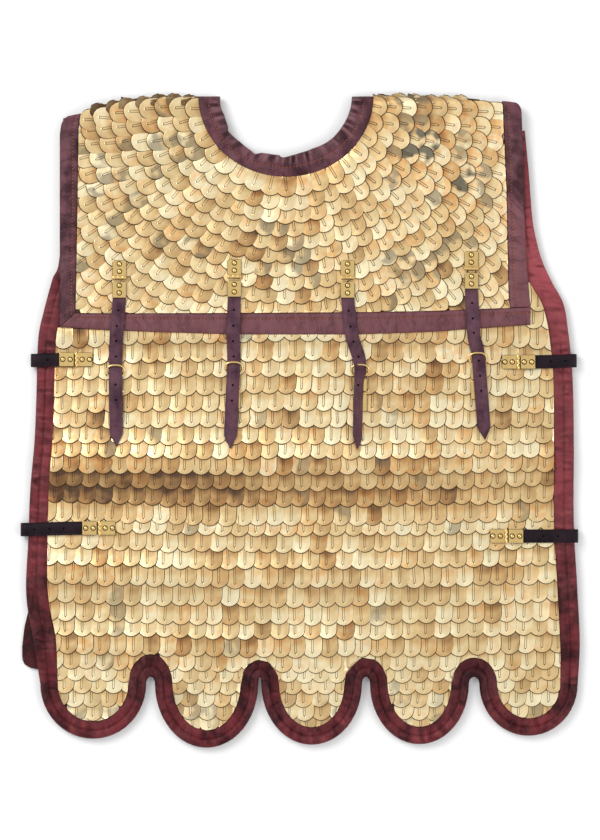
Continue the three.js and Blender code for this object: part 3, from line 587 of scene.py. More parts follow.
def group_tree(name, inputs, outputs):
    """A node group with its sockets, and its input and output nodes."""
    tree = bpy.data.node_groups.new(name, "ShaderNodeTree")
    for label, default in inputs:
        socket = tree.interface.new_socket(name=label, in_out="INPUT", socket_type="NodeSocketFloat")
        socket.default_value = default
    for label in outputs:
        tree.interface.new_socket(name=label, in_out="OUTPUT", socket_type="NodeSocketFloat")
    return tree, Paint(tree), tree.nodes.new("NodeGroupInput").outputs, tree.nodes.new("NodeGroupOutput")


def grain_group():
    """Fine leather grain with pores, from Object coordinates."""
    if "leather_grain" in bpy.data.node_groups:
        return bpy.data.node_groups["leather_grain"]
    tree, paint, given, end = group_tree("leather_grain", (("Pores", 900.0), ("Mottle", 45.0)),
                                         ("Height", "Mottling"))
    place = paint.coordinates()
    pores = paint.math("MULTIPLY", paint.cracks(place, given["Pores"]), 1.2)
    paint.fill(end, Height=paint.math("ADD", pores, paint.noise(place, 260, 6)),
               Mottling=paint.noise(place, given["Mottle"], 4, 0.6))
    return tree


def scuff_group():
    """Scuffs and wipes: long soft streaks and small specks, from Object coordinates."""
    if "scuffs" in bpy.data.node_groups:
        return bpy.data.node_groups["scuffs"]
    tree, paint, given, end = group_tree("scuffs", (("Size", 60.0), ("Amount", 0.5)), ("Mask",))
    stretch = paint.add("Mapping", Vector=paint.coordinates(), Scale=(1.0, 0.35, 1.0))
    noise = paint.noise(stretch.outputs["Vector"], given["Size"], 8, 0.7)
    strong = paint.math("MULTIPLY", paint.math("SUBTRACT", noise, 0.45), 5.0, clamp=True)
    paint.fill(end, Mask=paint.math("MULTIPLY", strong, given["Amount"]))
    return tree


def crease_group():
    """Broken creases that run across a leather edge, a mask for their painted shade, from its surface
    coordinates.
    """
    if "leather_creases" in bpy.data.node_groups:
        return bpy.data.node_groups["leather_creases"]
    tree, paint, given, end = group_tree("leather_creases", (("Size", 90.0), ("Amount", 0.5)), ("Mask",))
    place = paint.surface()
    moved = paint.add("VectorMath")
    moved.operation = "MULTIPLY_ADD"
    wander = paint.noise(place, 110, 3).node.outputs["Color"]
    for socket, value in zip(moved.inputs, (wander, (0.016, 0.016, 0.016), place)):
        paint.put(socket, value)
    stretch = paint.add("Mapping", Vector=moved.outputs[0], Scale=(1.0, 0.42, 1.0),
                        Rotation=(0, 0, 0.25))
    close = paint.scaled(paint.cracks(stretch.outputs["Vector"], given["Size"]), -4.6, 1.0, True)
    valley = paint.math("POWER", close, 2.2)
    both = paint.math("MULTIPLY", valley, paint.scaled(paint.noise(place, 60), 4.0, -1.45, True))
    paint.fill(end, Mask=paint.math("MULTIPLY", both, given["Amount"]))
    return tree


def new_material(name):
    material = bpy.data.materials.new(name)
    material.use_nodes = True
    return material, Paint(material.node_tree), material.node_tree.nodes["Principled BSDF"]


def scuffed_by(paint, size, amount):
    return paint.group(scuff_group(), "Mask", Size=size, Amount=amount)


FADED = (0.3, 0.1, 0.1)
# Each leather's dark and light colour, its colour of wear that also gives the painted highlight on crease
# ridges, its roughness, scuffs and creases, and its paler colour: fading on the trims, a painted highlight
# on the bindings
LEATHERS = {
    "oxblood_leather": ((0.038, 0.005, 0.008), (0.160, 0.023, 0.029), (0.28, 0.08, 0.085),
                        0.48, 0.28, 0.34, (0.36, 0.070, 0.085)),
    "shaded_leather": ((0.022, 0.004, 0.005), (0.060, 0.008, 0.011), (0.11, 0.03, 0.035),
                       0.5, 0.3, 0.5, FADED),
    "brown_leather": ((0.045, 0.014, 0.020), (0.140, 0.050, 0.065), (0.24, 0.12, 0.13),
                      0.46, 0.25, 0.42, (0.185, 0.070, 0.080)),
    "strap_leather": ((0.045, 0.016, 0.027), (0.110, 0.045, 0.066), (0.18, 0.10, 0.12),
                      0.42, 0.25, 0.0, FADED),
    "dark_strap_leather": ((0.005, 0.002, 0.004), (0.014, 0.006, 0.011), (0.04, 0.025, 0.03),
                           0.5, 0.15, 0.0, FADED),
    # The straps' holes: near-black inside, a painted shadow
    "hole_shadow_leather": ((0.002, 0.001, 0.001), (0.004, 0.002, 0.003), (0.006, 0.004, 0.004),
                     0.8, 0.1, 0.0, FADED),
    "backing_leather": ((0.045, 0.020, 0.010), (0.10, 0.05, 0.026), (0.15, 0.09, 0.05),
                        0.6, 0.2, 0.0, FADED),
}


def leather(name):
    """Leather with grain, mottling, pale scuffs, paler parts (fading on the trims, painted highlight on the
    bindings) and, on edges, creases with painted shade in them and painted highlight on their ridges.
    """
    if name in bpy.data.materials:
        return bpy.data.materials[name]
    dark, light, worn_and_sheen, rough, scuffed, creased, paler = LEATHERS[name]
    material, paint, shader = new_material(name)
    mottling = paint.group(grain_group(), "Mottling", Pores=900.0, Mottle=45.0)
    height = mottling.node.outputs["Height"]
    colour = paint.ramp(mottling, ((0.38, dark), (0.62, light)))
    colour = paint.mix(paint.attribute("pale"), colour, paler)
    valley = paint.attribute("valley")
    # Painted shade in the creases' valleys, darker the deeper they are
    depth = paint.math("MULTIPLY", valley, 0.75, clamp=True)
    colour = paint.mix(depth, colour, tuple(0.35 * part for part in dark))
    # Painted highlight on the ridges beside the creases
    colour = paint.mix(paint.math("MULTIPLY", valley, -1.6, clamp=True), colour, worn_and_sheen)
    colour = paint.mix(scuffed_by(paint, 70.0, scuffed), colour, worn_and_sheen)
    # Painted shade along a mask of broken folds, which are also bumped in
    if creased:
        folds = paint.group(crease_group(), "Mask", Size=80.0, Amount=creased)
        colour = paint.mix(folds, colour, tuple(0.4 * part for part in dark))
        height = paint.scaled(folds, -5.0, height)
    paint.fill(shader, Base_Color=colour, Specular_IOR_Level=0.14,
               Roughness=paint.scaled(mottling, 0.25, rough - 0.12),
               Normal=paint.bump(height, 0.35, 0.0005))
    return material


def brass():
    """Polished brass of hinges, rivets and rings, with painted shade at its edges and round the rivets."""
    if "bright_brass" in bpy.data.materials:
        return bpy.data.materials["bright_brass"]
    material, paint, shader = new_material("bright_brass")
    scuffs = scuffed_by(paint, 120.0, 0.5)
    colour = paint.mix(scuffs, (0.86, 0.61, 0.24), (0.55, 0.36, 0.14))
    # Painted shade on a plate's edge and round a rivet's foot
    colour = paint.mix(paint.attribute("contact_shade"), colour, (0.030, 0.018, 0.010))
    paint.fill(shader, Base_Color=colour, Metallic=0.95, Roughness=paint.scaled(scuffs, 0.25, 0.22),
               Normal=paint.bump(scuffs, 0.10, 0.0002))
    return material


def scale_brass():
    """Thin brass scales, each with its own tint, painted dark reflections, painted shade beside the rib and
    a painted shadow on the rim.
    """
    if "scale_brass" in bpy.data.materials:
        return bpy.data.materials["scale_brass"]
    tints = bpy.context.scene.armour_colours
    material, paint, shader = new_material("scale_brass")
    place = paint.coordinates()
    split = paint.add("SeparateXYZ", Vector=paint.surface())
    across, along = split.outputs["X"], split.outputs["Y"]

    # Brown to pale gold by each scale's tone, with clouds, and paler towards its tip and its right: painted
    # shade where the row above overlaps and painted light on its lit side
    tone = paint.math("ADD", paint.attribute("tone"), paint.scaled(paint.noise(place, 70, 1), 0.44, -0.22))
    lower = paint.scaled(along, 4.0, -1.75, True)
    tone = paint.math("ADD", tone, paint.scaled(lower, 0.24, -0.18))
    tone = paint.math("ADD", tone, paint.scaled(across, 0.09, 0.0))
    colour = paint.ramp(tone, ((0.0, (0.13, 0.075, 0.045)), (0.25, (0.42, 0.24, 0.10)),
                               (0.5, (0.68, 0.46, 0.21)), (0.75, tuple(tints.scale_gold)),
                               (1.0, (0.98, 0.86, 0.56))))
    pink = paint.scaled(paint.noise(place, 110, 1), 4.0, -1.4, True)
    pink = paint.math("MULTIPLY", paint.attribute("blush"), pink)
    colour = paint.mix(pink, colour, tuple(tints.scale_blush), "MULTIPLY")

    # Grey patches, where the brass mirrors something dark
    one_side = paint.math("ADD", paint.noise(place, 60, 1), paint.scaled(across, -0.16, 0.0))
    grey = paint.math("MULTIPLY", paint.scaled(one_side, 7.0, -3.1, True), paint.attribute("grey"))
    colour = paint.mix(grey, colour, (0.20, 0.175, 0.12))

    # Painted shade along the rib's foot and in a dot at its end, a painted shadow on the dark rim, and the
    # standing scales' painted shade
    off = paint.math("ABSOLUTE", across)
    near = paint.math("ABSOLUTE", paint.math("SUBTRACT", off, RIB_FOOT))
    before = paint.math("SUBTRACT", paint.attribute("rib"), along)
    beside = paint.math("MULTIPLY", paint.scaled(near, -18.0, 1.0, True),
                        paint.scaled(before, 40.0, 0.2, True))
    spread = paint.math("POWER", paint.math("MULTIPLY", off, 0.35), 2.0)
    rise = paint.math("POWER", paint.math("ABSOLUTE", before), 2.0)
    dot = paint.scaled(paint.math("ADD", spread, rise), -1400.0, 1.3, True)
    dark = paint.math("MAXIMUM", paint.math("MULTIPLY", beside, 0.85), dot)
    dark = paint.math("MAXIMUM", dark, paint.scaled(paint.attribute("rim"), 1.9, 0.0, True))
    dark = paint.math("MAXIMUM", dark, paint.attribute("shade"))
    colour = paint.mix(dark, colour, (0.045, 0.022, 0.012))
    paint.fill(shader, Base_Color=colour, Metallic=0.9,
               Roughness=paint.scaled(scuffed_by(paint, 60.0, 1.0), 0.14, 0.32),
               Normal=paint.bump(paint.noise(place, 100, 1), 0.25, 0.0012))
    return material


def thread():
    """Waxed orange thread."""
    if "orange_thread" in bpy.data.materials:
        return bpy.data.materials["orange_thread"]
    material, paint, shader = new_material("orange_thread")
    scuffs = scuffed_by(paint, 400.0, 0.8)
    paint.fill(shader, Base_Color=paint.mix(scuffs, (0.42, 0.13, 0.035), (0.25, 0.07, 0.03)),
               Roughness=0.6, Normal=paint.bump(scuffs, 0.4, 0.0002))
    return material


# Scales

# One scale's columns across, as shares of half its width, and fewer for the pressed ones
SCALE_COLUMNS = (-1.0, -0.92, -0.72, -0.42, -0.105, -0.045, 0.045, 0.105, 0.42, 0.72, 0.92, 1.0)
PRESSED_COLUMNS = (-1.0, -0.85, -0.5, -0.1, 0.1, 0.5, 0.85, 1.0)
RIB_FOOT = 0.105
RIB_HEIGHT = 0.0006
SCALE_THICK = 0.0007
# How far each scale's dark rim slopes out past its edge, a painted shadow line under it seen from above
RIM_OUT = 0.0011
DOME = 0.0007
# Widths and lengths of the scales
BODY_SCALE = (0.0228, 0.033)
YOKE_SCALE = (0.0246, 0.031)
# Heights over the leather of a scale's root and tip where it is pressed flat
PRESSED_ROOT = 0.0011
PRESSED_LIP = 0.0006


def scale_template(columns, rib_end):
    """One brass tongue with its rib and rim, as shares of its width and length, and its faces."""
    rows = np.array((0.0, 0.42, rib_end, rib_end + 0.05, 0.5 + rib_end / 2 + 0.02, 1.0))
    u, v = np.meshgrid(np.array(columns), rows, indexing="ij")
    rib = (np.abs(u) < RIB_FOOT - 0.01) * (v <= rib_end + 0.001)
    n, m = u.shape
    index = np.arange(n * m).reshape(n, m)
    faces = np.stack([index[:-1, :-1], index[:-1, 1:], index[1:, 1:], index[1:, :-1]], -1).reshape(-1, 4)
    rim = np.concatenate([index[0, :], index[1:, -1], index[-1, -2::-1]])
    low = np.arange(len(rim)) + n * m
    skirt = np.stack([rim[:-1], rim[1:], low[1:], low[:-1]], -1)
    flat_u, flat_v = u.ravel(), v.ravel()
    return {
        "u": np.concatenate([flat_u, flat_u[rim]]), "v": np.concatenate([flat_v, flat_v[rim]]),
        "rib": np.concatenate([rib.ravel().astype(float), np.zeros(len(rim))]),
        "rim": np.concatenate([np.zeros(n * m), np.ones(len(rim))]),
        "faces": np.concatenate([faces, skirt]), "rib_end": rib_end,
    }


def scales_mesh(name, places, shape, field, base, up=1.0, press=1.0):
    """All scales of a field as one mesh on the leather's height, cut off along the field's edge.

    Each place has a tip, a direction, a size and its heights over the leather; a disc is round at both
    ends, and up is -1 for scales that face the floor.
    """
    u, v, rib, rim = (shape[key] for key in ("u", "v", "rib", "rim"))
    count = len(u)

    def each(key):
        return np.array([place.get(key, 0.0) for place in places], float)[:, None]

    half, length, turn = each("width") / 2, each("length"), each("turn")
    round_end = half * (1 - np.sqrt(np.maximum(1 - u**2, 0)))
    start = each("disc") * round_end
    down = start + v * (length - round_end - start) + rim * RIM_OUT * v
    side = u * (half + rim * RIM_OUT)
    dx, dy = np.cos(turn), np.sin(turn)
    tips = np.array([place["tip"] for place in places])
    x = tips[:, :1] + dx * (down - length) + dy * side
    y = tips[:, 1:] + dy * (down - length) - dx * side
    share = down / length
    z = each("root") + (each("lip") - each("root")) * share
    crown = DOME * (1 - u**2) * share + rib * RIB_HEIGHT - rim * SCALE_THICK + each("side") * u
    z = z + up * press * crown + base(y)
    xy = held_inside(field, np.stack([x.ravel(), y.ravel()], 1))
    points = np.concatenate([xy, z.reshape(-1, 1)], 1)
    faces = shape["faces"][:, ::-1] if up > 0 else shape["faces"]
    faces = (faces[None] + np.arange(len(places))[:, None, None] * count).reshape(-1, 4)
    uv = np.tile(np.stack([u, v], 1), (len(places), 1))
    values = {key: np.repeat(each(key).ravel(), count) for key in ("tone", "blush", "grey", "shade")}
    values["rib"] = np.full(len(points), shape["rib_end"])
    values["rim"] = np.tile(rim, len(places))
    obj = mesh_object(name, points, faces, uv=uv, values=values)
    return finished(obj, scale_brass(), smooth=20)


def inside_many(polygon, points):
    """Which points are inside an outline."""
    found = np.zeros(len(points), bool)
    for (x0, y0), (x1, y1) in zip(polygon, np.roll(polygon, -1, axis=0)):
        if y0 == y1:
            continue
        crosses = (y0 > points[:, 1]) != (y1 > points[:, 1])
        found ^= crosses & (points[:, 0] < x0 + (points[:, 1] - y0) * (x1 - x0) / (y1 - y0))
    return found


def nearest_on(polygon, points):
    """The nearest place on an outline for each point, and how far it is."""
    best = np.full(len(points), np.inf)
    place = points.copy()
    for start, end in zip(polygon, np.roll(polygon, -1, axis=0)):
        along = end - start
        share = np.clip((points - start) @ along / max(along @ along, 1e-12), 0, 1)
        there = start + share[:, None] * along
        away = np.linalg.norm(points - there, axis=1)
        closer = away < best
        best[closer], place[closer] = away[closer], there[closer]
    return place, best


def held_inside(polygon, points):
    """Points with those outside an outline moved onto it."""
    moved = points.copy()
    outside = ~inside_many(polygon, points)
    moved[outside] = nearest_on(polygon, points[outside])[0]
    return moved


def panel_outline(inset, back=False):
    """Outline of a panel from its sides, hem and neck; inset goes from outer (0) to inner edge (1)."""
    shrink = BACK_INSET if back else 0.0
    left_outer, left_inner = side_stations(LEFT_EDGE, -1)
    right_outer, right_inner = side_stations(RIGHT_EDGE, 1)
    hem_outer, hem_inner = hem_stations()
    share = inset + shrink / SIDE_WIDTH

    def line(outer, inner):
        return outer * (1 - share) + inner * share

    left, hem = line(left_outer, left_inner), line(hem_outer, hem_inner)
    if back:
        left = left[left[:, 1] > HIP_FROM]
        left = np.concatenate([left, hip_line(HIP_CORNER, inset), hip_line(HIP_HEM, inset)])
        hem = hem[hem[:, 0] > left[-1, 0] + 0.002]
    return np.concatenate([left, hem, line(right_outer, right_inner)[::-1], neck_cut()])


def hip_line(table, inset):
    outer, inner = two_lines(table)
    return outer * (1 - inset) + inner * inset


def neck_cut(top=0.3606):
    """The neck's lower half, under its trim, from right to left up to a level."""
    outer, inner = neck_stations()
    line = (outer + inner)[::-1] / 2
    return line[line[:, 1] < top]


def body_field():
    """Where the body's scales show: inside the bindings, up to the yoke and beside its right corner."""
    panel = panel_outline(0.97)
    side = (panel[:, 0] > 0.26) & (panel[:, 1] > LOBE_SIDE + 0.0006)
    under_trim = two_lines(YOKE_BOTTOM)[0][::-1] + (0, 0.003)
    under_trim[-1] = (-0.2830, 0.1096)
    lower = panel[(panel[:, 1] < under_trim[-1, 1]) & ~side]
    right = panel[side & (panel[:, 1] < 0.172)]
    return np.concatenate([lower, right, [(0.2700, 0.172)], under_trim])


# Rows of scales on the body: the tips' level, and the rib next to the middle
ROWS = (
    (0.1775, -0.0120), (0.1583, -0.0060), (0.1374, -0.0090), (0.1156, -0.0140),
    (0.0922, -0.0100), (0.0694, -0.0046), (0.0509, -0.0172), (0.0295, -0.0172), (0.0088, -0.0110),
    (-0.0106, -0.0131), (-0.0307, -0.0216), (-0.0484, -0.0181), (-0.0678, -0.0206),
    (-0.0863, -0.0173), (-0.1056, -0.0206), (-0.1284, -0.0106), (-0.1410, -0.0148),
    (-0.1608, -0.0198), (-0.1806, -0.0076), (-0.2034, -0.0185), (-0.2262, -0.0076),
    (-0.2478, -0.0055), (-0.2646, -0.0066), (-0.2862, -0.0046), (-0.3042, -0.0009),
    (-0.3170, -0.0145), (-0.3310, -0.0085), (-0.3462, -0.0156), (-0.3618, -0.0136),
    (-0.3760, -0.0120),
)
# Half the body's width, and how far the rows sag at the sides, by level
BODY_HALF = 0.312
ROW_SAG = ((0.092, 0.0096), (-0.086, -0.006), (-0.280, -0.006), (-0.365, 0.0))
# The back's rows: the first tips' level, the pitch and the shift of every second row
BACK_ROW_TOP = 0.0895
BACK_ROW_PITCH = 0.0192
BACK_ROW_SHIFT = -0.0098


def body_places(rows, field, back=False):
    """Where a panel's scales lie, row by row from the yoke to the hem."""
    pitch = bpy.context.scene.armour_sizes.scale_pitch
    rng = np.random.default_rng(11)
    probes = np.array([(0, 0.001), (0, 0.008), (-0.008, 0.012), (0.008, 0.012), (0, 0.0175)])
    places = []
    for tip, rib in rows:
        sag = between(ROW_SAG, tip, 1)
        lift = rng.uniform(-0.0001, 0.0004)
        for k in range(-17, 20):
            x = rib + k * pitch + rng.normal(0, 0.0005)
            bow = 0.0006 * math.sin(x * 31 + tip * 90)
            y = tip - sag * (x / BODY_HALF) ** 2 + bow + rng.normal(0, 0.0004)
            corner = tip > 0.110 and not back
            if (corner and x < 0.262) or not inside_many(field, probes + (x, y)).any():
                continue
            # Painted shade: the tone drops along the waist fold, more to the left, in the row just above it
            # and towards the left hip, where the fold turns the scales from the light
            leftward = min(1.0, max(0.0, 0.5 - x / 0.3))
            waist = math.exp(-(((tip + 0.096) / 0.019) ** 2)) * (0.40 + 0.60 * leftward)
            above = math.exp(-(((tip + 0.068) / 0.010) ** 2))
            hip = min(1.0, (max(0.0, -x) / 0.30) ** 3) * math.exp(-(((y + 0.06) / 0.07) ** 2))
            # Painted dark reflections on half the scales of the lowest row, and on a few others
            low = 0.5 * math.exp(-(((y + 0.36) / 0.02) ** 2)) * (rng.random() < 0.5)
            spread = 0.16 * (1 - 0.75 * waist)
            tone = 0.76 + spread * rng.standard_normal() - 0.68 * waist - 0.16 * above - 0.22 * hip
            root, lip = 0.0003, 0.0024 + lift + rng.uniform(-0.0003, 0.0002)
            if back:
                root, lip = PRESSED_ROOT, PRESSED_LIP
            places.append({
                "tip": (x, y), "turn": -math.pi / 2 + rng.normal(0, 0.04), "width": BODY_SCALE[0],
                "length": BODY_SCALE[1], "root": root, "lip": lip, "side": -0.0005 + rng.normal(0, 0.00022),
                "tone": float(np.clip(tone, 0.0, 1)), "blush": float(rng.random() ** 2.2) + 0.3 * above,
                "grey": max(low, 0.5 * (rng.random() < 0.03)),
            })
    return places


def yoke_field(past=0.0, down=0.0):
    """Where the yoke's scales show: inside the trims, round the neck and up to the shoulders."""
    left, right, bottom = (two_lines(table)[1] for table in YOKE_EDGES.values())
    outer, _ = neck_stations()
    top = SHOULDER + past
    edge = [(x, top - shoulder_fall(x) - drop)
            for x, drop in ((0.2380, 0.0075), (0.2280, 0.0045), (0.2160, 0.0), (0.1900, 0.0))]
    edge.append((NECK_X + NECK_OUTER[0] - 0.002, top))
    fold = [(NECK_X - NECK_OUTER[0] + 0.002, top)]
    fold += [(x, top - shoulder_fall(x)) for x in (-0.1900, -0.2150, -0.2300, -0.2440)]
    neck = np.array([(NECK_X, SHOULDER)]) + (outer - (NECK_X, SHOULDER)) * (1 - down)
    return np.concatenate([left, bottom[1:-1], right, edge, neck[::-1], fold])


def shoulder_fall(x):
    """How far the fold of the shoulders drops towards the arms; more on the left."""
    away = max(0.0, abs(x + 0.004) - 0.175) / 0.06
    return (0.0095 if x < 0 else 0.0045) * away**1.4


# Rings of scales about the neck: the first radius, the pitch across and down, and the shoulder row
RING_FIRST = 0.121
RING_ACROSS = 0.0182
RING_DOWN = 0.0160
SHOULDER_ROW = 0.0150
# Where the yoke's scales mirror something dark: x, y, half width, half height and share of the scales
GREY_PLACES = (
    (0.156, 0.324, 0.030, 0.042, 1.1), (0.208, 0.283, 0.022, 0.026, 1.1),
    (-0.168, 0.322, 0.034, 0.030, 0.7), (-0.254, 0.300, 0.018, 0.026, 0.7),
    (-0.218, 0.258, 0.024, 0.026, 0.7), (-0.166, 0.206, 0.022, 0.018, 0.6),
    (-0.016, 0.184, 0.026, 0.040, 0.6), (0.124, 0.172, 0.050, 0.026, 0.6),
)


def yoke_places(field, back=False):
    """Where the yoke's scales lie, in rings about the neck that start in a row along the shoulders."""
    rng = np.random.default_rng(23)
    probes = np.array([(0, 0), (0.010, 0), (-0.010, 0), (0, 0.010)])
    places = []
    for ring in range(18):
        radius = RING_FIRST + ring * (RING_ACROSS + RING_DOWN) / 2
        first = math.asin(SHOULDER_ROW / (RING_FIRST + ring * RING_ACROSS))
        sweep_turn = math.pi - 2 * first
        count = round(radius * sweep_turn / (0.0222 if ring == 0 else 0.0206))
        phase = rng.uniform(-0.10, 0.10)
        for k in range(count + 1):
            turn = math.pi + first + sweep_turn * (k + phase * math.sin(math.pi * k / count)) / count
            pitch = RING_ACROSS * math.cos(turn) ** 2 + RING_DOWN * math.sin(turn) ** 2
            reach = RING_FIRST + ring * pitch + rng.normal(0, 0.0005)
            x, y = NECK_X + reach * math.cos(turn), SHOULDER + reach * math.sin(turn)
            y -= shoulder_fall(x) * math.exp(-(((SHOULDER - y) / 0.04) ** 2))
            inward = np.array([-math.cos(turn), -math.sin(turn)]) * 0.008
            if not inside_many(field, probes + (x, y) + inward).any():
                continue
            shoulder = math.exp(-(((SHOULDER - y) / 0.05) ** 2))
            dim = math.exp(-(((y - 0.205) / 0.025) ** 2) - ((x + 0.09) / 0.11) ** 2)
            right = math.exp(-(((x - 0.2) / 0.07) ** 2) - ((y - 0.30) / 0.06) ** 2)
            # Painted dark reflections: more scales mirror something dark near GREY_PLACES and the shoulders
            mirroring = [share * math.exp(-(((x - at) / wide) ** 2) - ((y - level) / tall) ** 2)
                    for at, level, wide, tall, share in GREY_PLACES]
            tone = 0.75 + 0.18 * rng.standard_normal() - 0.14 * shoulder - 0.18 * dim
            grey = rng.random() < 0.03 + 0.05 * shoulder + max(mirroring)
            root, lip = 0.0002, 0.0024 + rng.uniform(-0.0003, 0.0003)
            if back:
                root, lip = PRESSED_ROOT, PRESSED_LIP
            places.append({
                "tip": (x, y), "turn": turn + rng.normal(0, 0.06), "width": YOKE_SCALE[0],
                "length": YOKE_SCALE[1], "root": root, "lip": lip, "side": -0.0004 + rng.normal(0, 0.0003),
                "tone": float(np.clip(tone, 0.02, 1)), "blush": float(rng.random() ** 2) + 0.7 * right,
                "grey": grey * (1.0 if max(mirroring) > 0.75 else 0.62),
            })
    return places


def standing_places():
    """Scales that stand up behind the fold of the shoulders; the left ones get painted shade for their
    shaded undersides.
    """
    rng = np.random.default_rng(5)
    places = []
    for side, reach_end, dark in ((-1, 0.228, 0.62), (1, 0.222, 0.05)):
        for reach in np.arange(0.116, reach_end, 0.0182):
            x = NECK_X + side * (reach + rng.normal(0, 0.0015))
            top = 0.0034 * (1 - abs(x + 0.004) / 0.19) - shoulder_fall(x)
            half = rng.uniform(0.0088, 0.0104)
            places.append({
                "tip": (x + side * (half + 0.001), SHOULDER + top - half + rng.normal(0, 0.0006)),
                "turn": (math.pi if side < 0 else 0.0) - side * rng.uniform(0.05, 0.25),
                "length": 2 * half + 0.002, "width": 2 * half, "root": 0.0002, "lip": 0.0012,
                "tone": 0.75 - 0.6 * dark + 0.2 * rng.random(), "blush": 0.3, "disc": 1.0,
                "shade": dark + 0.33 * rng.random(),
            })
    return places


# Pieces


def leather_sheet(name, node, outline, height, cell, thick=0.0018):
    """A thin leather shell on a panel's form, cut from a grid to its outline, and its cut size."""
    low, high = outline.min(0), outline.max(0)
    size = high - low
    nx, ny = (int(round(s / cell)) for s in size)
    choose_none()
    bpy.ops.mesh.primitive_grid_add(x_subdivisions=nx, y_subdivisions=ny, size=1, location=(0, 0, 0))
    obj = bpy.context.object
    obj.name = obj.data.name = name
    mesh = obj.data
    xy = low + (points_of(mesh)[:, :2].astype(float) + 0.5) * size
    place, away = nearest_on(outline, xy)
    near = away < 0.45 * cell
    xy[near] = place[near]
    mesh.vertices.foreach_set("co", np.stack([xy[:, 0], xy[:, 1] + SHIFT, height(xy[:, 1])], 1).ravel())
    middles = np.array([np.mean([xy[i] for i in face.vertices], axis=0) for face in mesh.polygons])
    within = inside_many(outline, middles)
    nothing_selected("FACE")
    for face, keep in zip(mesh.polygons, within):
        face.select = not keep
    bpy.ops.object.mode_set(mode="EDIT")
    bpy.ops.mesh.delete(type="FACE")
    bpy.ops.object.mode_set(mode="OBJECT")
    area = sum(face.area for face in mesh.polygons)
    modifier = obj.modifiers.new("wall", "SOLIDIFY")
    modifier.thickness = thick
    modifier.offset = -1
    bpy.ops.object.modifier_apply(modifier="wall")
    finished(obj, leather("backing_leather"))
    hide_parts(node)
    return obj, {"flat": tuple(float(s) for s in size), "area": float(area)}


def make_body():
    obj, cut_size = leather_sheet("front_leather", "front_panel", panel_outline(0.97),
                                  lambda y: front_top(y) - 0.0002, 0.008)
    field = body_field()
    shape = scale_template(SCALE_COLUMNS, 0.84)
    scales = scales_mesh("front_scales", body_places(ROWS, field), shape, field, front_top)


def shoulder_turn(y, top, depth, reach=0.010):
    """A height that turns down by depth in a quarter round towards the shoulder fold."""
    past = np.clip((np.asarray(y) - (SHOULDER - reach)) / reach, 0, 1)
    return top - depth * (1 - np.sqrt(np.maximum(1 - past**2, 0)))


def make_yoke():
    top = YOKE_BASE + FRONT_WALL
    obj, cut_size = leather_sheet("yoke_leather", "yoke_front", yoke_field(past=-0.007, down=0.08),
                                  lambda y: shoulder_turn(y, top, YOKE_LEATHER_TURN), 0.007)
    field = yoke_field(past=0.008)
    shape = scale_template(SCALE_COLUMNS, 0.78)
    places = standing_places() + yoke_places(field)
    scales = scales_mesh("yoke_scales", places, shape, field,
                         lambda y: shoulder_turn(y, top, YOKE_SCALES_TURN))


def make_back():
    """The back's panel and yoke, whose scales are pressed flat against the floor."""
    shape = scale_template(PRESSED_COLUMNS, 0.80)
    obj, cut_size = leather_sheet("back_leather", "back_panel", panel_outline(0.8, back=True),
                                  lambda y: ramp(y) + BACK_LEATHER_TOP, 0.010, BACK_LEATHER)
    panel = panel_outline(0.99, back=True)
    field = panel[panel[:, 1] < 0.0985]
    rows = [(BACK_ROW_TOP - k * BACK_ROW_PITCH, BACK_ROW_SHIFT * (k % 2)) for k in range(26)]
    places = body_places(rows, field, back=True)
    scales = scales_mesh("back_scales", places, shape, field, ramp, -1.0, 0.25)

    obj, cut_size = leather_sheet("yoke_back_leather", "yoke_back", yoke_field(down=0.08),
                                  lambda y: shoulder_turn(y, BACK_LEATHER_TOP, -BACK_TURN), 0.009,
                                  BACK_LEATHER)
    field = yoke_field(past=-0.010)
    scales = scales_mesh("yoke_back_scales", yoke_places(field, back=True), shape, field, np.zeros_like,
                         -1.0, 0.25)


def flat_edge(name, outer, inner, tall, bottom, material, node, seed):
    """An edge of the back: flat on the floor, with shallow creases."""
    section = [(across, height * tall) for across, height in FLAT_EDGE]
    wrinkle = creases(seed, length_of(outer), 0.016, 0.0004, 0.003, 0.005)
    obj = sweep(name, outer, inner, section, bottom, wrinkle, None, 0.004)
    finished(obj, leather(material))
    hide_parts(node)


def make_back_edges():
    left_outer, left_inner = side_stations(LEFT_EDGE, -1)
    right_outer, right_inner = side_stations(RIGHT_EDGE, 1)
    kept = left_outer[:, 1] > HIP_FROM
    inset = np.array([BACK_INSET, 0.0])
    corner, hip = two_lines(HIP_CORNER), two_lines(HIP_HEM)
    hem_outer, hem_inner = hem_stations()
    late = np.arange(len(hem_outer)) >= 8
    edges = {
        "left": (np.concatenate([left_outer[kept] + inset, corner[0]]),
                 np.concatenate([left_inner[kept], corner[1]])),
        "right": (right_outer - inset, right_inner),
        "hem": (np.concatenate([hip[0], (hem_outer * 0.94 + hem_inner * 0.06)[late]]),
                np.concatenate([hip[1], hem_inner[late]])),
    }
    for k, (name, (outer, inner)) in enumerate(edges.items()):
        flat_edge(f"back_edge_{name}", outer, inner, BACK_WALL, ramp, "shaded_leather",
                  f"back_binding_{name}", 60 + k)

    def round_the_fold(y):
        return -shoulder_turn(y, 0.0, BACK_TURN, 0.0084)

    for k, (name, table) in enumerate(YOKE_EDGES.items()):
        outer, inner = two_lines(table)
        flat_edge(f"yoke_edge_back_{name}", outer, inner, BACK_YOKE_WALL, round_the_fold, "brown_leather",
                  f"yoke_trim_back_{name}", 70 + k)
    outer, inner = neck_stations()
    inner = gathered(inner, 0.0, 0.0012)
    flat_edge("neck_edge_back", outer, inner, BACK_YOKE_WALL, round_the_fold, "brown_leather",
              "neck_trim_back", 80)


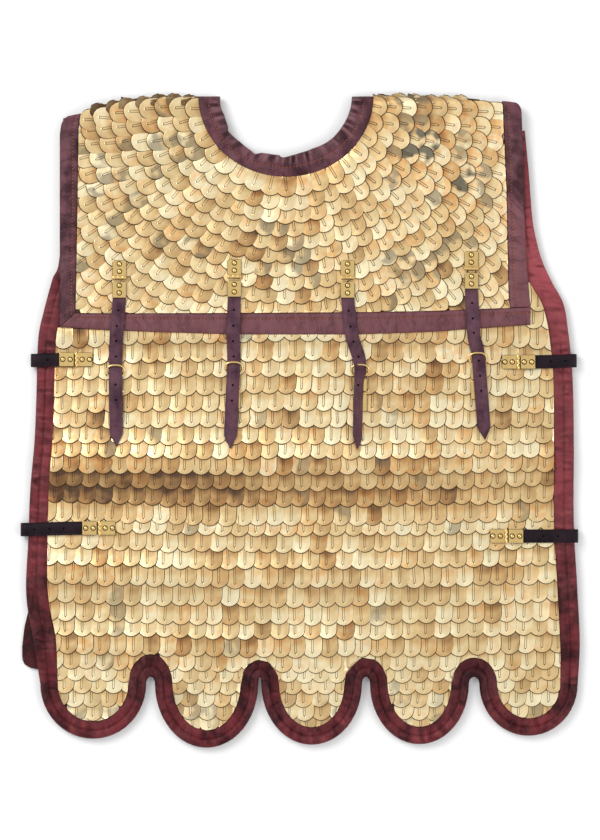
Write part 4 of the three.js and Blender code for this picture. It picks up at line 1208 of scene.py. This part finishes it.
def make_bindings():
    def pressed_flat(y):
        share = np.clip((y - RAMP_FOOT) / (RAMP_TOP - RAMP_FOOT), 0, 1)
        return 1 - share * (1 - 0.0031 / 0.0069)

    sides = (("left", *side_stations(LEFT_EDGE, -1), 3), ("right", *side_stations(RIGHT_EDGE, 1), 5))
    for name, outer, inner, seed in sides:
        shown = outer[:, 1] < BINDING_TOP
        outer, inner = outer[shown], inner[shown]
        wrinkle = creases(seed, 0.70, 0.010, 0.0017, 0.0022, 0.006)

        # Painted highlight: the side bindings turn paler towards the armholes, most on the right
        def armhole(y, name=name):
            upper = np.clip((y + 0.22) / 0.1, 0, 1)
            return upper * (0.15 if name == "left" else 0.35 + 0.65 * np.exp(-(((y - 0.19) / 0.06) ** 2)))

        # Darker towards the hem, most on the left
        def darkened(y, name=name):
            return np.interp(y, (-0.34, -0.27, -0.12), (0.42, 0.50, 0.0)) * (1.0 if name == "left" else 0.3)

        obj = sweep(f"binding_{name}", outer, inner, WELT, front_under, wrinkle, pressed_flat, 0.0022,
                    armhole, darkened)
        finished(obj, leather("oxblood_leather"))
        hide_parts(f"front_binding_{name}")
    outer, inner = hem_stations()
    wrinkle = creases(8, 1.6, 0.011, 0.0015, 0.0022, 0.004)
    # Painted shade on the hem binding, darkest up in the arches between the lobes
    obj = sweep("binding_hem", outer, inner, WELT, front_under, wrinkle, None, 0.0022, None,
                lambda y: np.interp(y, (-0.375, -0.35, -0.31), (0.05, 0.30, 0.75)))
    finished(obj, leather("oxblood_leather"))
    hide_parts("front_binding_hem")


def stitches(name, outer, inner, stitch, bottom, pitch=0.0042):
    """A line of small stitches sunk in the groove of a leather edge."""
    outer, inner, _ = resampled(outer, inner, pitch)
    across, height = stitch
    line = outer * (1 - across) + inner * across
    turn = np.arctan2(*np.gradient(line, axis=0).T[::-1])
    ring = np.arange(6) * math.pi / 3
    profile = ((-0.00125, 0.00012), (-0.0009, 0.00034), (0.0009, 0.00034), (0.00125, 0.00012))
    body = np.array([(a, r * math.cos(t), r * math.sin(t)) for a, r in profile for t in ring])
    faces = [(s * 6 + k, s * 6 + (k + 1) % 6, s * 6 + 6 + (k + 1) % 6, s * 6 + 6 + k)
             for s in range(3) for k in range(6)]
    faces += [tuple(range(6))[::-1], tuple(range(18, 24))]
    points, all_faces = [], []
    for k in range(1, len(line) - 1):
        c, s = math.cos(turn[k]), math.sin(turn[k])
        x = line[k, 0] + body[:, 0] * c - body[:, 1] * s
        y = line[k, 1] + body[:, 0] * s + body[:, 1] * c
        z = bottom(np.array(line[k, 1])) + height + body[:, 2]
        points.append(np.stack([x, y, z], 1))
        all_faces += [tuple(i + 24 * (k - 1) for i in face) for face in faces]
    obj = mesh_object(name, np.concatenate(points), all_faces)
    return finished(obj, thread(), smooth=60)


def yoke_bottom(y):
    """Underside of the yoke's edges; it turns down over the shoulders."""
    past = np.clip((np.asarray(y) - (SHOULDER - 0.0085)) / 0.0085, 0, 1)
    return YOKE_BASE - (YOKE_BASE - YOKE_MIDDLE) * past**2


def make_trims():
    for k, (name, table) in enumerate(YOKE_EDGES.items()):
        outer, inner = two_lines(table)
        wrinkle = creases(30 + k, length_of(outer), 0.018, 0.0008, 0.003, 0.004)

        def paler(y, name=name):
            if name == "right":
                return 0.9 * (y < 0.244)
            return np.full(np.shape(y), 0.75 if name == "bottom" else 0.0)

        obj = sweep(f"yoke_trim_{name}", outer, inner, TRIM, yoke_bottom, wrinkle, None, 0.003, paler)
        finished(obj, leather("brown_leather"))
        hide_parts(f"yoke_trim_front_{name}")
        stitches(f"yoke_stitches_{name}", outer, inner, TRIM_STITCH, yoke_bottom)
    outer, inner = neck_stations()
    wrinkle = creases(41, 0.30, 0.012, 0.0030, 0.0026, 0.004, keep=0.86)

    def turned_down(y):
        past = np.clip((y - (SHOULDER - 0.007)) / 0.007, 0, 1)
        return 1 - 0.55 * past**2

    def flat(y):
        return np.full(np.shape(y), YOKE_MIDDLE)

    inner = gathered(inner)
    obj = sweep("neck_trim", outer, inner, NECK, flat, wrinkle, turned_down, 0.002)
    finished(obj, leather("brown_leather"))
    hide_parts("neck_trim_front")
    stitches("neck_stitches", outer[4:-4], inner[4:-4], NECK_STITCH, flat)


# Hardware and straps


def applied():
    """The piece just added, with its place and size put into its points."""
    bpy.ops.object.transform_apply(location=True, rotation=True, scale=True)
    return bpy.context.object


def cylinder(place, radius, depth, vertices=20, lying=False):
    """An upright cylinder, or one that lies along X."""
    choose_none()
    bpy.ops.mesh.primitive_cylinder_add(vertices=vertices, radius=radius, depth=depth, location=place,
                                        rotation=(0, math.pi / 2 if lying else 0, 0))
    return applied()


def softened(obj, width):
    soften = obj.modifiers.new("soft", "BEVEL")
    soften.width = width
    soften.segments = 2
    soften.limit_method = "ANGLE"
    bpy.ops.object.modifier_apply(modifier="soft")
    return obj


def nothing_selected(kind):
    """Leaves edit mode with no edge or face selected."""
    bpy.ops.object.mode_set(mode="EDIT")
    bpy.ops.mesh.select_mode(type=kind)
    bpy.ops.mesh.select_all(action="DESELECT")
    bpy.ops.object.mode_set(mode="OBJECT")


def box_piece(name, size, place, corner, edge):
    """A plate from a cube, with rounded corners and softened edges."""
    choose_none()
    bpy.ops.mesh.primitive_cube_add(size=1, location=place, scale=size)
    obj = applied()
    obj.name = name
    nothing_selected("EDGE")
    mesh = obj.data
    for line in mesh.edges:
        a, b = (mesh.vertices[i].co for i in line.vertices)
        line.select = abs(a.z - b.z) > size[2] / 2
    bpy.ops.object.mode_set(mode="EDIT")
    bpy.ops.mesh.bevel(offset=corner, segments=3, affect="EDGES")
    nothing_selected("FACE")
    for face in mesh.polygons:
        face.select = face.normal.z > 0.9
    bpy.ops.object.mode_set(mode="EDIT")
    bpy.ops.mesh.inset(thickness=2 * edge)
    bpy.ops.object.mode_set(mode="OBJECT")
    softened(obj, edge)
    # Its rim is marked for painted shade, the dark outline where it meets what lies below
    reach = np.array(size[:2]) / 2 - 1.6 * edge
    return shade_marked(obj, lambda p: np.abs(p[:, :2] - np.array(place)[:2]) > reach)


def shade_marked(obj, darkened):
    """Marks the points of a piece that take painted shade, given a test of their x, y and z."""
    mesh = obj.data
    marks = np.asarray(darkened(points_of(mesh)), float)
    if marks.ndim > 1:
        marks = marks.max(1)
    mesh.attributes.new("contact_shade", "FLOAT", "POINT").data.foreach_set("value", marks.astype(np.float32))
    return obj


def joined(parts, name):
    choose_none()
    for part in parts:
        part.select_set(True)
    bpy.context.view_layer.objects.active = parts[0]
    bpy.ops.object.join()
    obj = bpy.context.object
    obj.name = obj.data.name = name
    return obj


def dome(place, radius, height):
    """A rivet head, the upper half of a sphere pressed low, with painted shade round its foot and on a thin
    dark disc under it as its shadow.
    """
    choose_none()
    bpy.ops.mesh.primitive_uv_sphere_add(segments=16, ring_count=10, radius=radius, location=place)
    obj = applied()
    bpy.ops.object.mode_set(mode="EDIT")
    bpy.ops.mesh.select_all(action="SELECT")
    bpy.ops.mesh.bisect(plane_co=place, plane_no=(0, 0, 1), clear_inner=True, use_fill=True)
    bpy.ops.mesh.select_all(action="SELECT")
    bpy.ops.transform.resize(value=(1, 1, height / radius), center_override=place)
    bpy.ops.object.mode_set(mode="OBJECT")
    shade_marked(obj, lambda p: 0.8 * (p[:, 2] < place[2] + 0.0002))
    ring = cylinder(place, radius * 1.32, 0.0002)
    return [obj, shade_marked(ring, lambda p: np.ones(len(p)))]


def barrel(place, radius, width):
    """A hinge knuckle of three rolled lengths on a pin."""
    x, y, z = place
    lengths = [softened(cylinder((x + share * width / 3, y, z), radius, width / 3 - 0.0003, lying=True),
                        0.0003) for share in (-1, 0, 1)]
    return lengths + [cylinder(place, radius * 0.45, width + 0.0016, 12, lying=True)]


def leaf_template(name, long, rivet_start, knuckle):
    """A hinge leaf about the origin, long along Y, with two rivets and perhaps its knuckle."""
    parts = [box_piece(name, (LEAF_WIDTH, long, LEAF_THICK), (0, 0, LEAF_THICK / 2), 0.0022, 0.0003)]
    for k in range(2):
        place = (0, rivet_start - k * RIVET_STEP, LEAF_THICK)
        parts += dome(place, RIVET_RADIUS, 0.0015)
    if knuckle:
        size = abs(knuckle)
        place = (0, math.copysign(long / 2 + size * 0.6, knuckle), size)
        parts += barrel(place, size, LEAF_WIDTH - 0.001)
    return joined(parts, name)


def placed_copy(template, name, node, x, y, z, turn=0.0):
    """A copy of a template with its own mesh, put in its place in the mesh itself."""
    mesh = template.data.copy()
    obj = bpy.data.objects.new(name, mesh)
    bpy.context.scene.collection.objects.link(obj)
    points = points_of(mesh).astype(float)
    c, s = math.cos(turn), math.sin(turn)
    moved = np.stack([x + points[:, 0] * c - points[:, 1] * s,
                      y + SHIFT + points[:, 0] * s + points[:, 1] * c, z + points[:, 2]], 1)
    mesh.vertices.foreach_set("co", moved.astype(np.float32).ravel())
    mesh.update()
    finished(obj, brass(), smooth=35)
    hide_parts(node)
    return obj


def removed(obj):
    mesh = obj.data
    bpy.data.objects.remove(obj)
    bpy.data.meshes.remove(mesh)


STRAP_SECTION = (
    (-1.0, 0.25), (-0.97, 0.06), (-0.90, 0.0), (0.90, 0.0), (0.97, 0.06), (1.0, 0.25), (1.0, 0.75),
    (0.97, 0.94), (0.90, 1.0), (0.80, 1.0), (0.76, 0.90), (0.72, 1.0), (0.0, 1.03), (-0.72, 1.0),
    (-0.76, 0.90), (-0.80, 1.0), (-0.90, 1.0), (-0.97, 0.94), (-1.0, 0.75),
)


def punched(obj, holes, material):
    """Punches round holes in a strap at (x, y, z of its top) places, painted dark inside as their shadow.
    """
    cutter = joined([cylinder((x, y + SHIFT, z + 0.0010), HOLE_RADIUS, HOLE_DEEP, 16) for x, y, z in holes],
                    "punch")
    cutter.data.materials.append(leather("hole_shadow_leather"))
    obj.data.materials.append(material)
    choose(obj)
    cut = obj.modifiers.new("holes", "BOOLEAN")
    cut.operation = "DIFFERENCE"
    cut.solver = "EXACT"
    cut.material_mode = "TRANSFER"
    cut.object = cutter
    bpy.ops.object.modifier_apply(modifier="holes")
    removed(cutter)
    return finished(obj, None, smooth=40)


def strap_shell(name, centre, width, thick, roll=None):
    """A strap swept along centre points (x, y, z of its underside), width along each station."""
    count = len(centre)
    along = np.gradient(centre, axis=0)
    along /= np.linalg.norm(along, axis=1)[:, None]
    side = np.stack([-along[:, 1], along[:, 0], np.zeros(count)], 1)
    side /= np.linalg.norm(side, axis=1)[:, None]
    up = np.cross(along, side)
    if roll is None:
        up *= np.where(up[:, 2:3] < 0, -1, 1)
    points = []
    for k in range(count):
        turn = 0.0 if roll is None else roll[k]
        a, b = side[k], up[k]
        a, b = a * math.cos(turn) + b * math.sin(turn), b * math.cos(turn) - a * math.sin(turn)
        for u, v in STRAP_SECTION:
            points.append(centre[k] + a * u * width[k] / 2 + b * v * thick)
    return tube(name, np.array(points), count, len(STRAP_SECTION))


def strap_height(y, ring_y):
    """Underside of a front strap: over the yoke's edge, through the ring and over the leaves."""
    rest = YOKE_TOP + SEAM
    base = float(clear_of_scales(ring_y - LEAF_LONG))
    if y > YOKE_END:
        return rest
    if y > ring_y:
        end = max(ring_y, 0.076)
        slope = (y - end) / (YOKE_END - end)
        line = float(clear_of_scales(ring_y)) + (rest - float(clear_of_scales(ring_y))) * slope
        return max(float(clear_of_scales(y)), line)
    if y > ring_y - 0.003:
        return float(clear_of_scales(ring_y))
    if y > ring_y - LEAVES_REACH:
        return base + OVER_LEAVES * min(1.0, (ring_y - 0.003 - y) / 0.006)
    down = min(1.0, (ring_y - LEAVES_REACH - y) / LEAVES_FALL)
    return float(clear_of_scales(y)) + OVER_LEAVES * (1 - down)


def front_strap(number, row):
    """One strap on its hinge, through its ring, with the buckle under it."""
    name = f"front_strap_{number}"
    width = bpy.context.scene.armour_sizes.strap_width
    hx, hy = row["hinge"]
    rx, ry = row["ring"]
    tx, ty = row["tip"]
    half = LEAF_LONG / 2
    reach = KNUCKLE_RADIUS * 1.6
    second = hy - reach - half
    route = [(hx, second + half - STRAP_LAP), (hx, second - half), (row["edge"], YOKE_END), (rx, ry),
             ((rx + tx) / 2, (ry + ty) / 2), (tx, ty)]
    fine = spline(route, 400)
    levels = np.linspace(second + half - STRAP_LAP, ty, 84)
    x = np.interp(-levels, -fine[:, 1], fine[:, 0])
    heights = np.array([strap_height(y, ry) for y in levels])
    soft = np.convolve(np.pad(heights, 2, mode="edge"), np.ones(5) / 5, mode="valid")
    z = np.maximum(heights, soft)
    narrow = np.clip((levels - ty) / POINT, 0.0, 1)
    widths = width * np.clip(narrow**0.85, 0.06, 1)
    roll = None
    if row["roll"]:
        roll = -row["roll"] * np.clip((ry + 0.015 - levels) / 0.035, 0, 1)
        z = z + np.abs(np.sin(roll)) * width / 2 * 0.75
        x = x - (1 - np.cos(roll)) * width / 2
    strap = strap_shell(name + "_leather", np.stack([x, levels, z], 1), widths, STRAP_THICK, roll)
    holes = [(float(np.interp(-y, -levels, x)), y, float(np.interp(-y, -levels, z)) + STRAP_THICK)
             for y in row["holes"]]
    punched(strap, holes, leather("strap_leather"))
    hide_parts(name)


def front_hardware(number, row, fixed, moving, buckle_leaf, buckle_plate):
    name = f"front_strap_{number}"
    hx, hy = row["hinge"]
    rx, ry = row["ring"]
    half = LEAF_LONG / 2
    reach = KNUCKLE_RADIUS * 1.6
    rest = YOKE_TOP + SEAM
    placed_copy(fixed, f"{name}_hinge_top", f"{name}_fixed_leaf", hx, hy + reach + half - 0.001, rest)
    second = hy - reach - half
    placed_copy(moving, f"{name}_hinge_low", f"{name}_moving_leaf", hx, second, rest + STRAP_THICK + SEAM)
    base = float(clear_of_scales(ry - LEAF_LONG))
    lower = ry - 2 * RING_DEEP - SEAM
    placed_copy(buckle_leaf, f"{name}_catch", f"{name}_buckle_leaf", rx, lower - BUCKLE_LEAF / 2, base)
    plate_top = lower - BUCKLE_LEAF - 2 * BUCKLE_KNUCKLE - SEAM
    placed_copy(buckle_plate, f"{name}_catch_plate", f"{name}_buckle_plate", rx,
                plate_top - BUCKLE_PLATE / 2, base)

    centre = (rx, ry - RING_DEEP + WIRE_RADIUS + SHIFT, base + (RING_HIGH + RING_LOW) / 2)
    choose_none()
    bpy.ops.mesh.primitive_torus_add(major_segments=40, minor_segments=12, location=centre,
                                     major_radius=RING_HALF - WIRE_RADIUS, minor_radius=WIRE_RADIUS)
    ring = applied()
    ring.name = ring.data.name = f"{name}_wire"
    mesh = ring.data
    points = points_of(mesh).astype(float) - centre
    turn = np.arctan2(points[:, 1], points[:, 0])
    out = np.hypot(points[:, 0], points[:, 1]) - (RING_HALF - WIRE_RADIUS)
    sq_x = np.sign(np.cos(turn)) * np.abs(np.cos(turn)) ** 0.8
    sq_y = np.sign(np.sin(turn)) * np.abs(np.sin(turn)) ** 0.8
    flat_x = (RING_HALF - WIRE_RADIUS) * sq_x + out * np.cos(turn)
    flat_y = (RING_DEEP - WIRE_RADIUS) * sq_y + out * np.sin(turn)
    tilt = math.atan2(RING_HIGH - RING_LOW, 2 * (RING_DEEP - WIRE_RADIUS))
    c, s = math.cos(tilt), math.sin(tilt)
    turned = np.stack([flat_x, flat_y * c - points[:, 2] * s, flat_y * s + points[:, 2] * c], 1) + centre
    mesh.vertices.foreach_set("co", turned.astype(np.float32).ravel())
    mesh.update()
    finished(ring, brass(), smooth=60)
    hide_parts(f"{name}_ring")


def side_strap(row):
    """A dark strap over the binding, round the edge and under to the back."""
    side, y, bend = row["side"], row["y"], row["bend"]
    radius = (SIDE_BASE + SIDE_THICK) / 2
    end = bend - side * radius
    outside = row["hinge"] + side * (KNUCKLE_RADIUS + SEAM + SIDE_LEAF / 2)
    start = outside - side * SIDE_LEAF / 2 + side * STRAP_LAP
    low_end = bend - side * SIDE_UNDER
    inner = radius - SIDE_THICK / 2
    top = [(x, SIDE_BASE + SIDE_THICK / 2) for x in np.linspace(start, end, 30)]
    bend_points = [(end + side * inner * math.sin(t), radius + inner * math.cos(t))
                   for t in np.linspace(0.15, math.pi - 0.15, 14)]
    under = [(x, SIDE_THICK / 2) for x in np.linspace(end, low_end, 20)]
    path = np.array(top + bend_points + under)
    over = np.clip((path[:, 0] - start) / (end - start), 0, 1)
    fall = row["drop"] * over**2
    along = np.gradient(path, axis=0)
    along /= np.linalg.norm(along, axis=1)[:, None]
    normal = np.stack([-along[:, 1], along[:, 0]], 1) * side
    half = bpy.context.scene.armour_sizes.strap_width / 2
    points = []
    for k in range(len(path)):
        for u, v in STRAP_SECTION:
            lift = (v - 0.5) * SIDE_THICK
            x, z = path[k] + normal[k] * lift
            points.append((x, y - fall[k] + u * half, z))
    obj = tube(f"side_{row['name']}_leather", np.array(points), len(path), len(STRAP_SECTION))
    holes = []
    for x in row["holes"]:
        share = min(1.0, max(0.0, (x - start) / (end - start)))
        holes.append((x, y - row["drop"] * share**2, SIDE_BASE + SIDE_THICK))
    punched(obj, holes, leather("dark_strap_leather"))
    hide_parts(f"side_strap_{row['name']}")


def side_hardware(row, inner, outer):
    name = f"side_strap_{row['name']}"
    side, y = row["side"], row["y"]
    turn = math.pi / 2 if side < 0 else -math.pi / 2
    half = SIDE_LEAF / 2
    inside_x = row["hinge"] - side * (KNUCKLE_RADIUS * 0.6 + half)
    placed_copy(inner, f"{name}_hinge_in", f"{name}_inner_leaf", inside_x, y,
                float(clear_of_scales(y)), turn)
    outside = row["hinge"] + side * (KNUCKLE_RADIUS + SEAM + half)
    placed_copy(outer, f"{name}_hinge_out", f"{name}_outer_leaf", outside, y,
                SIDE_BASE + SIDE_THICK + SEAM, turn)


def make_straps():
    for number, row in enumerate(FRONT_STRAPS, 1):
        front_strap(number, row)
    for row in SIDE_STRAPS:
        side_strap(row)


def make_hinges():
    half = LEAF_LONG / 2
    fixed = leaf_template("leaf_fixed", LEAF_LONG, half - 0.0045, -KNUCKLE_RADIUS)
    moving = leaf_template("leaf_moving", LEAF_LONG, half - 0.0045, 0)
    catch = leaf_template("leaf_catch", BUCKLE_LEAF, BUCKLE_LEAF / 2 - 0.0035, 0)
    plate = leaf_template("leaf_plate", BUCKLE_PLATE, BUCKLE_PLATE / 2 - 0.007, BUCKLE_KNUCKLE)
    for number, row in enumerate(FRONT_STRAPS, 1):
        front_hardware(number, row, fixed, moving, catch, plate)
    inner = leaf_template("leaf_inner", SIDE_LEAF, SIDE_LEAF / 2 - 0.0055, KNUCKLE_RADIUS)
    outer = leaf_template("leaf_outer", SIDE_LEAF, SIDE_LEAF / 2 - 0.0045, 0)
    for row in SIDE_STRAPS:
        side_hardware(row, inner, outer)
    for template in (fixed, moving, catch, plate, inner, outer):
        removed(template)


def finish_plates():
    """Brass for the buckle plates of the back, whose solids stay as they are."""
    for row in SIDE_STRAPS:
        plate = bpy.data.objects[f"side_strap_{row['name']}_back_plate"]
        plate.data.materials.clear()
        plate.data.materials.append(brass())


# Stage

# How far above, at what middle and level, and over what height the camera sees the armour
VIEW_DISTANCE = 3.6
VIEW_MIDDLE = 0.0027 + SHIFT - 0.0045
VIEW_LEVEL = 0.010
VIEW_HEIGHT = 1.008
FILM_HEIGHT = 36


def make_stage():
    choose_none()
    bpy.ops.mesh.primitive_plane_add(size=8, location=(0, 0, -0.0005))
    floor = bpy.context.object
    floor.name = "floor"
    material, paint, shader = new_material("white_floor")
    colour = paint.mix(paint.noise(paint.coordinates(), 3), (0.93, 0.93, 0.93), (0.96, 0.96, 0.96))
    paint.fill(shader, Base_Color=colour, Roughness=0.9)
    floor.data.materials.append(material)

    scene = bpy.context.scene
    scene.view_settings.view_transform = "Standard"
    world = bpy.data.worlds.new("soft_light")
    world.use_nodes = True
    background = world.node_tree.nodes["Background"]
    background.inputs["Color"].default_value = (1, 1, 1, 1)
    background.inputs["Strength"].default_value = 0.74
    scene.world = world
    lamps = (("key", (-1.9, 1.6, 2.3), 1.8, 62.0), ("fill", (2.2, -0.6, 2.2), 1.6, 20.0))
    for name, place, size, power in lamps:
        light = bpy.data.lights.new(name, "AREA")
        light.size = size
        light.energy = power
        obj = bpy.data.objects.new(name, light)
        scene.collection.objects.link(obj)
        obj.location = place
        obj.rotation_euler = (-Vector(place)).to_track_quat("-Z", "Y").to_euler()

    camera = bpy.data.cameras.new("camera")
    eye = bpy.data.objects.new("camera", camera)
    scene.collection.objects.link(eye)
    eye.location = (0, VIEW_MIDDLE, VIEW_DISTANCE)
    camera.sensor_fit = "VERTICAL"
    camera.sensor_height = FILM_HEIGHT
    camera.lens = FILM_HEIGHT * (VIEW_DISTANCE - VIEW_LEVEL) / VIEW_HEIGHT
    scene.camera = eye


# Add-on


class ArmourSizes(bpy.types.PropertyGroup):
    """Sizes that a user may change."""

    scale_pitch: bpy.props.FloatProperty(
        name="Scale pitch", description="Distance between neighbouring scales in a row",
        default=0.0196, min=0.01, max=0.04, unit="LENGTH")
    strap_width: bpy.props.FloatProperty(
        name="Strap width", description="Width of all the straps",
        default=0.016, min=0.01, max=0.03, unit="LENGTH")


class ArmourColours(bpy.types.PropertyGroup):
    """Colours that a user may change."""

    scale_gold: bpy.props.FloatVectorProperty(
        name="Scale gold", description="Middle colour of the brass scales",
        default=(0.85, 0.65, 0.34), size=3, min=0, max=1, subtype="COLOR")
    scale_blush: bpy.props.FloatVectorProperty(
        name="Scale blush", description="Warm tint of the pinker scales",
        default=(1.0, 0.80, 0.66), size=3, min=0, max=1, subtype="COLOR")


class BuildStep:
    """How every operator runs: each of its steps, in order"""

    steps = ()

    def execute(self, context):
        for step in self.steps:
            step()
        return {"FINISHED"}


class ARMOUR_OT_body(BuildStep, bpy.types.Operator):
    """Front panel: its leather and its rows of scales"""

    bl_idname = "armour.body"
    bl_label = "Body scales"
    steps = (make_body,)


class ARMOUR_OT_yoke(BuildStep, bpy.types.Operator):
    """Yoke: its leather and its rings of scales"""

    bl_idname = "armour.yoke"
    bl_label = "Yoke scales"
    steps = (make_yoke,)


class ARMOUR_OT_bindings(BuildStep, bpy.types.Operator):
    """Rolled leather bindings of the sides and the hem"""

    bl_idname = "armour.bindings"
    bl_label = "Bindings"
    steps = (make_bindings,)


class ARMOUR_OT_trims(BuildStep, bpy.types.Operator):
    """Stitched leather trims of the yoke and the neck"""

    bl_idname = "armour.trims"
    bl_label = "Trims"
    steps = (make_trims,)


class ARMOUR_OT_straps(BuildStep, bpy.types.Operator):
    """Leather straps of the front and the sides"""

    bl_idname = "armour.straps"
    bl_label = "Straps"
    steps = (make_straps,)


class ARMOUR_OT_hinges(BuildStep, bpy.types.Operator):
    """Brass hinge leaves, rivets and rings"""

    bl_idname = "armour.hinges"
    bl_label = "Hinges and rings"
    steps = (make_hinges,)


class ARMOUR_OT_back(BuildStep, bpy.types.Operator):
    """Back panel and yoke, pressed flat, with their edges"""

    bl_idname = "armour.back"
    bl_label = "Back"
    steps = (make_back, make_back_edges, finish_plates)


class ARMOUR_OT_stage(BuildStep, bpy.types.Operator):
    """Pale floor, soft light and the camera"""

    bl_idname = "armour.stage"
    bl_label = "Stage"
    steps = (make_stage,)


OPERATORS = (
    ARMOUR_OT_body, ARMOUR_OT_yoke, ARMOUR_OT_bindings, ARMOUR_OT_trims, ARMOUR_OT_straps,
    ARMOUR_OT_hinges, ARMOUR_OT_back, ARMOUR_OT_stage,
)


class ARMOUR_PT_panel(bpy.types.Panel):
    """Armour pieces in the sidebar"""

    bl_label = "Scale armour"
    bl_idname = "ARMOUR_PT_panel"
    bl_space_type = "VIEW_3D"
    bl_region_type = "UI"
    bl_category = "Armour"

    def draw(self, context):
        layout = self.layout
        for group in (context.scene.armour_sizes, context.scene.armour_colours):
            for key in group.__annotations__:
                layout.prop(group, key)
        for operator in OPERATORS:
            layout.operator(operator.bl_idname)


CLASSES = (ArmourSizes, ArmourColours, *OPERATORS, ARMOUR_PT_panel)


def register():
    for cls in CLASSES:
        bpy.utils.register_class(cls)
    bpy.types.Scene.armour_sizes = bpy.props.PointerProperty(type=ArmourSizes)
    bpy.types.Scene.armour_colours = bpy.props.PointerProperty(type=ArmourColours)


def unregister():
    del bpy.types.Scene.armour_colours
    del bpy.types.Scene.armour_sizes
    for cls in reversed(CLASSES):
        bpy.utils.unregister_class(cls)


def main():
    register()
    bpy.ops.armour.stage()
    bpy.ops.armour.back()
    bpy.ops.armour.body()
    bpy.ops.armour.yoke()
    bpy.ops.armour.bindings()
    bpy.ops.armour.trims()
    bpy.ops.armour.straps()
    bpy.ops.armour.hinges()


if __name__ == "__main__":
    main()
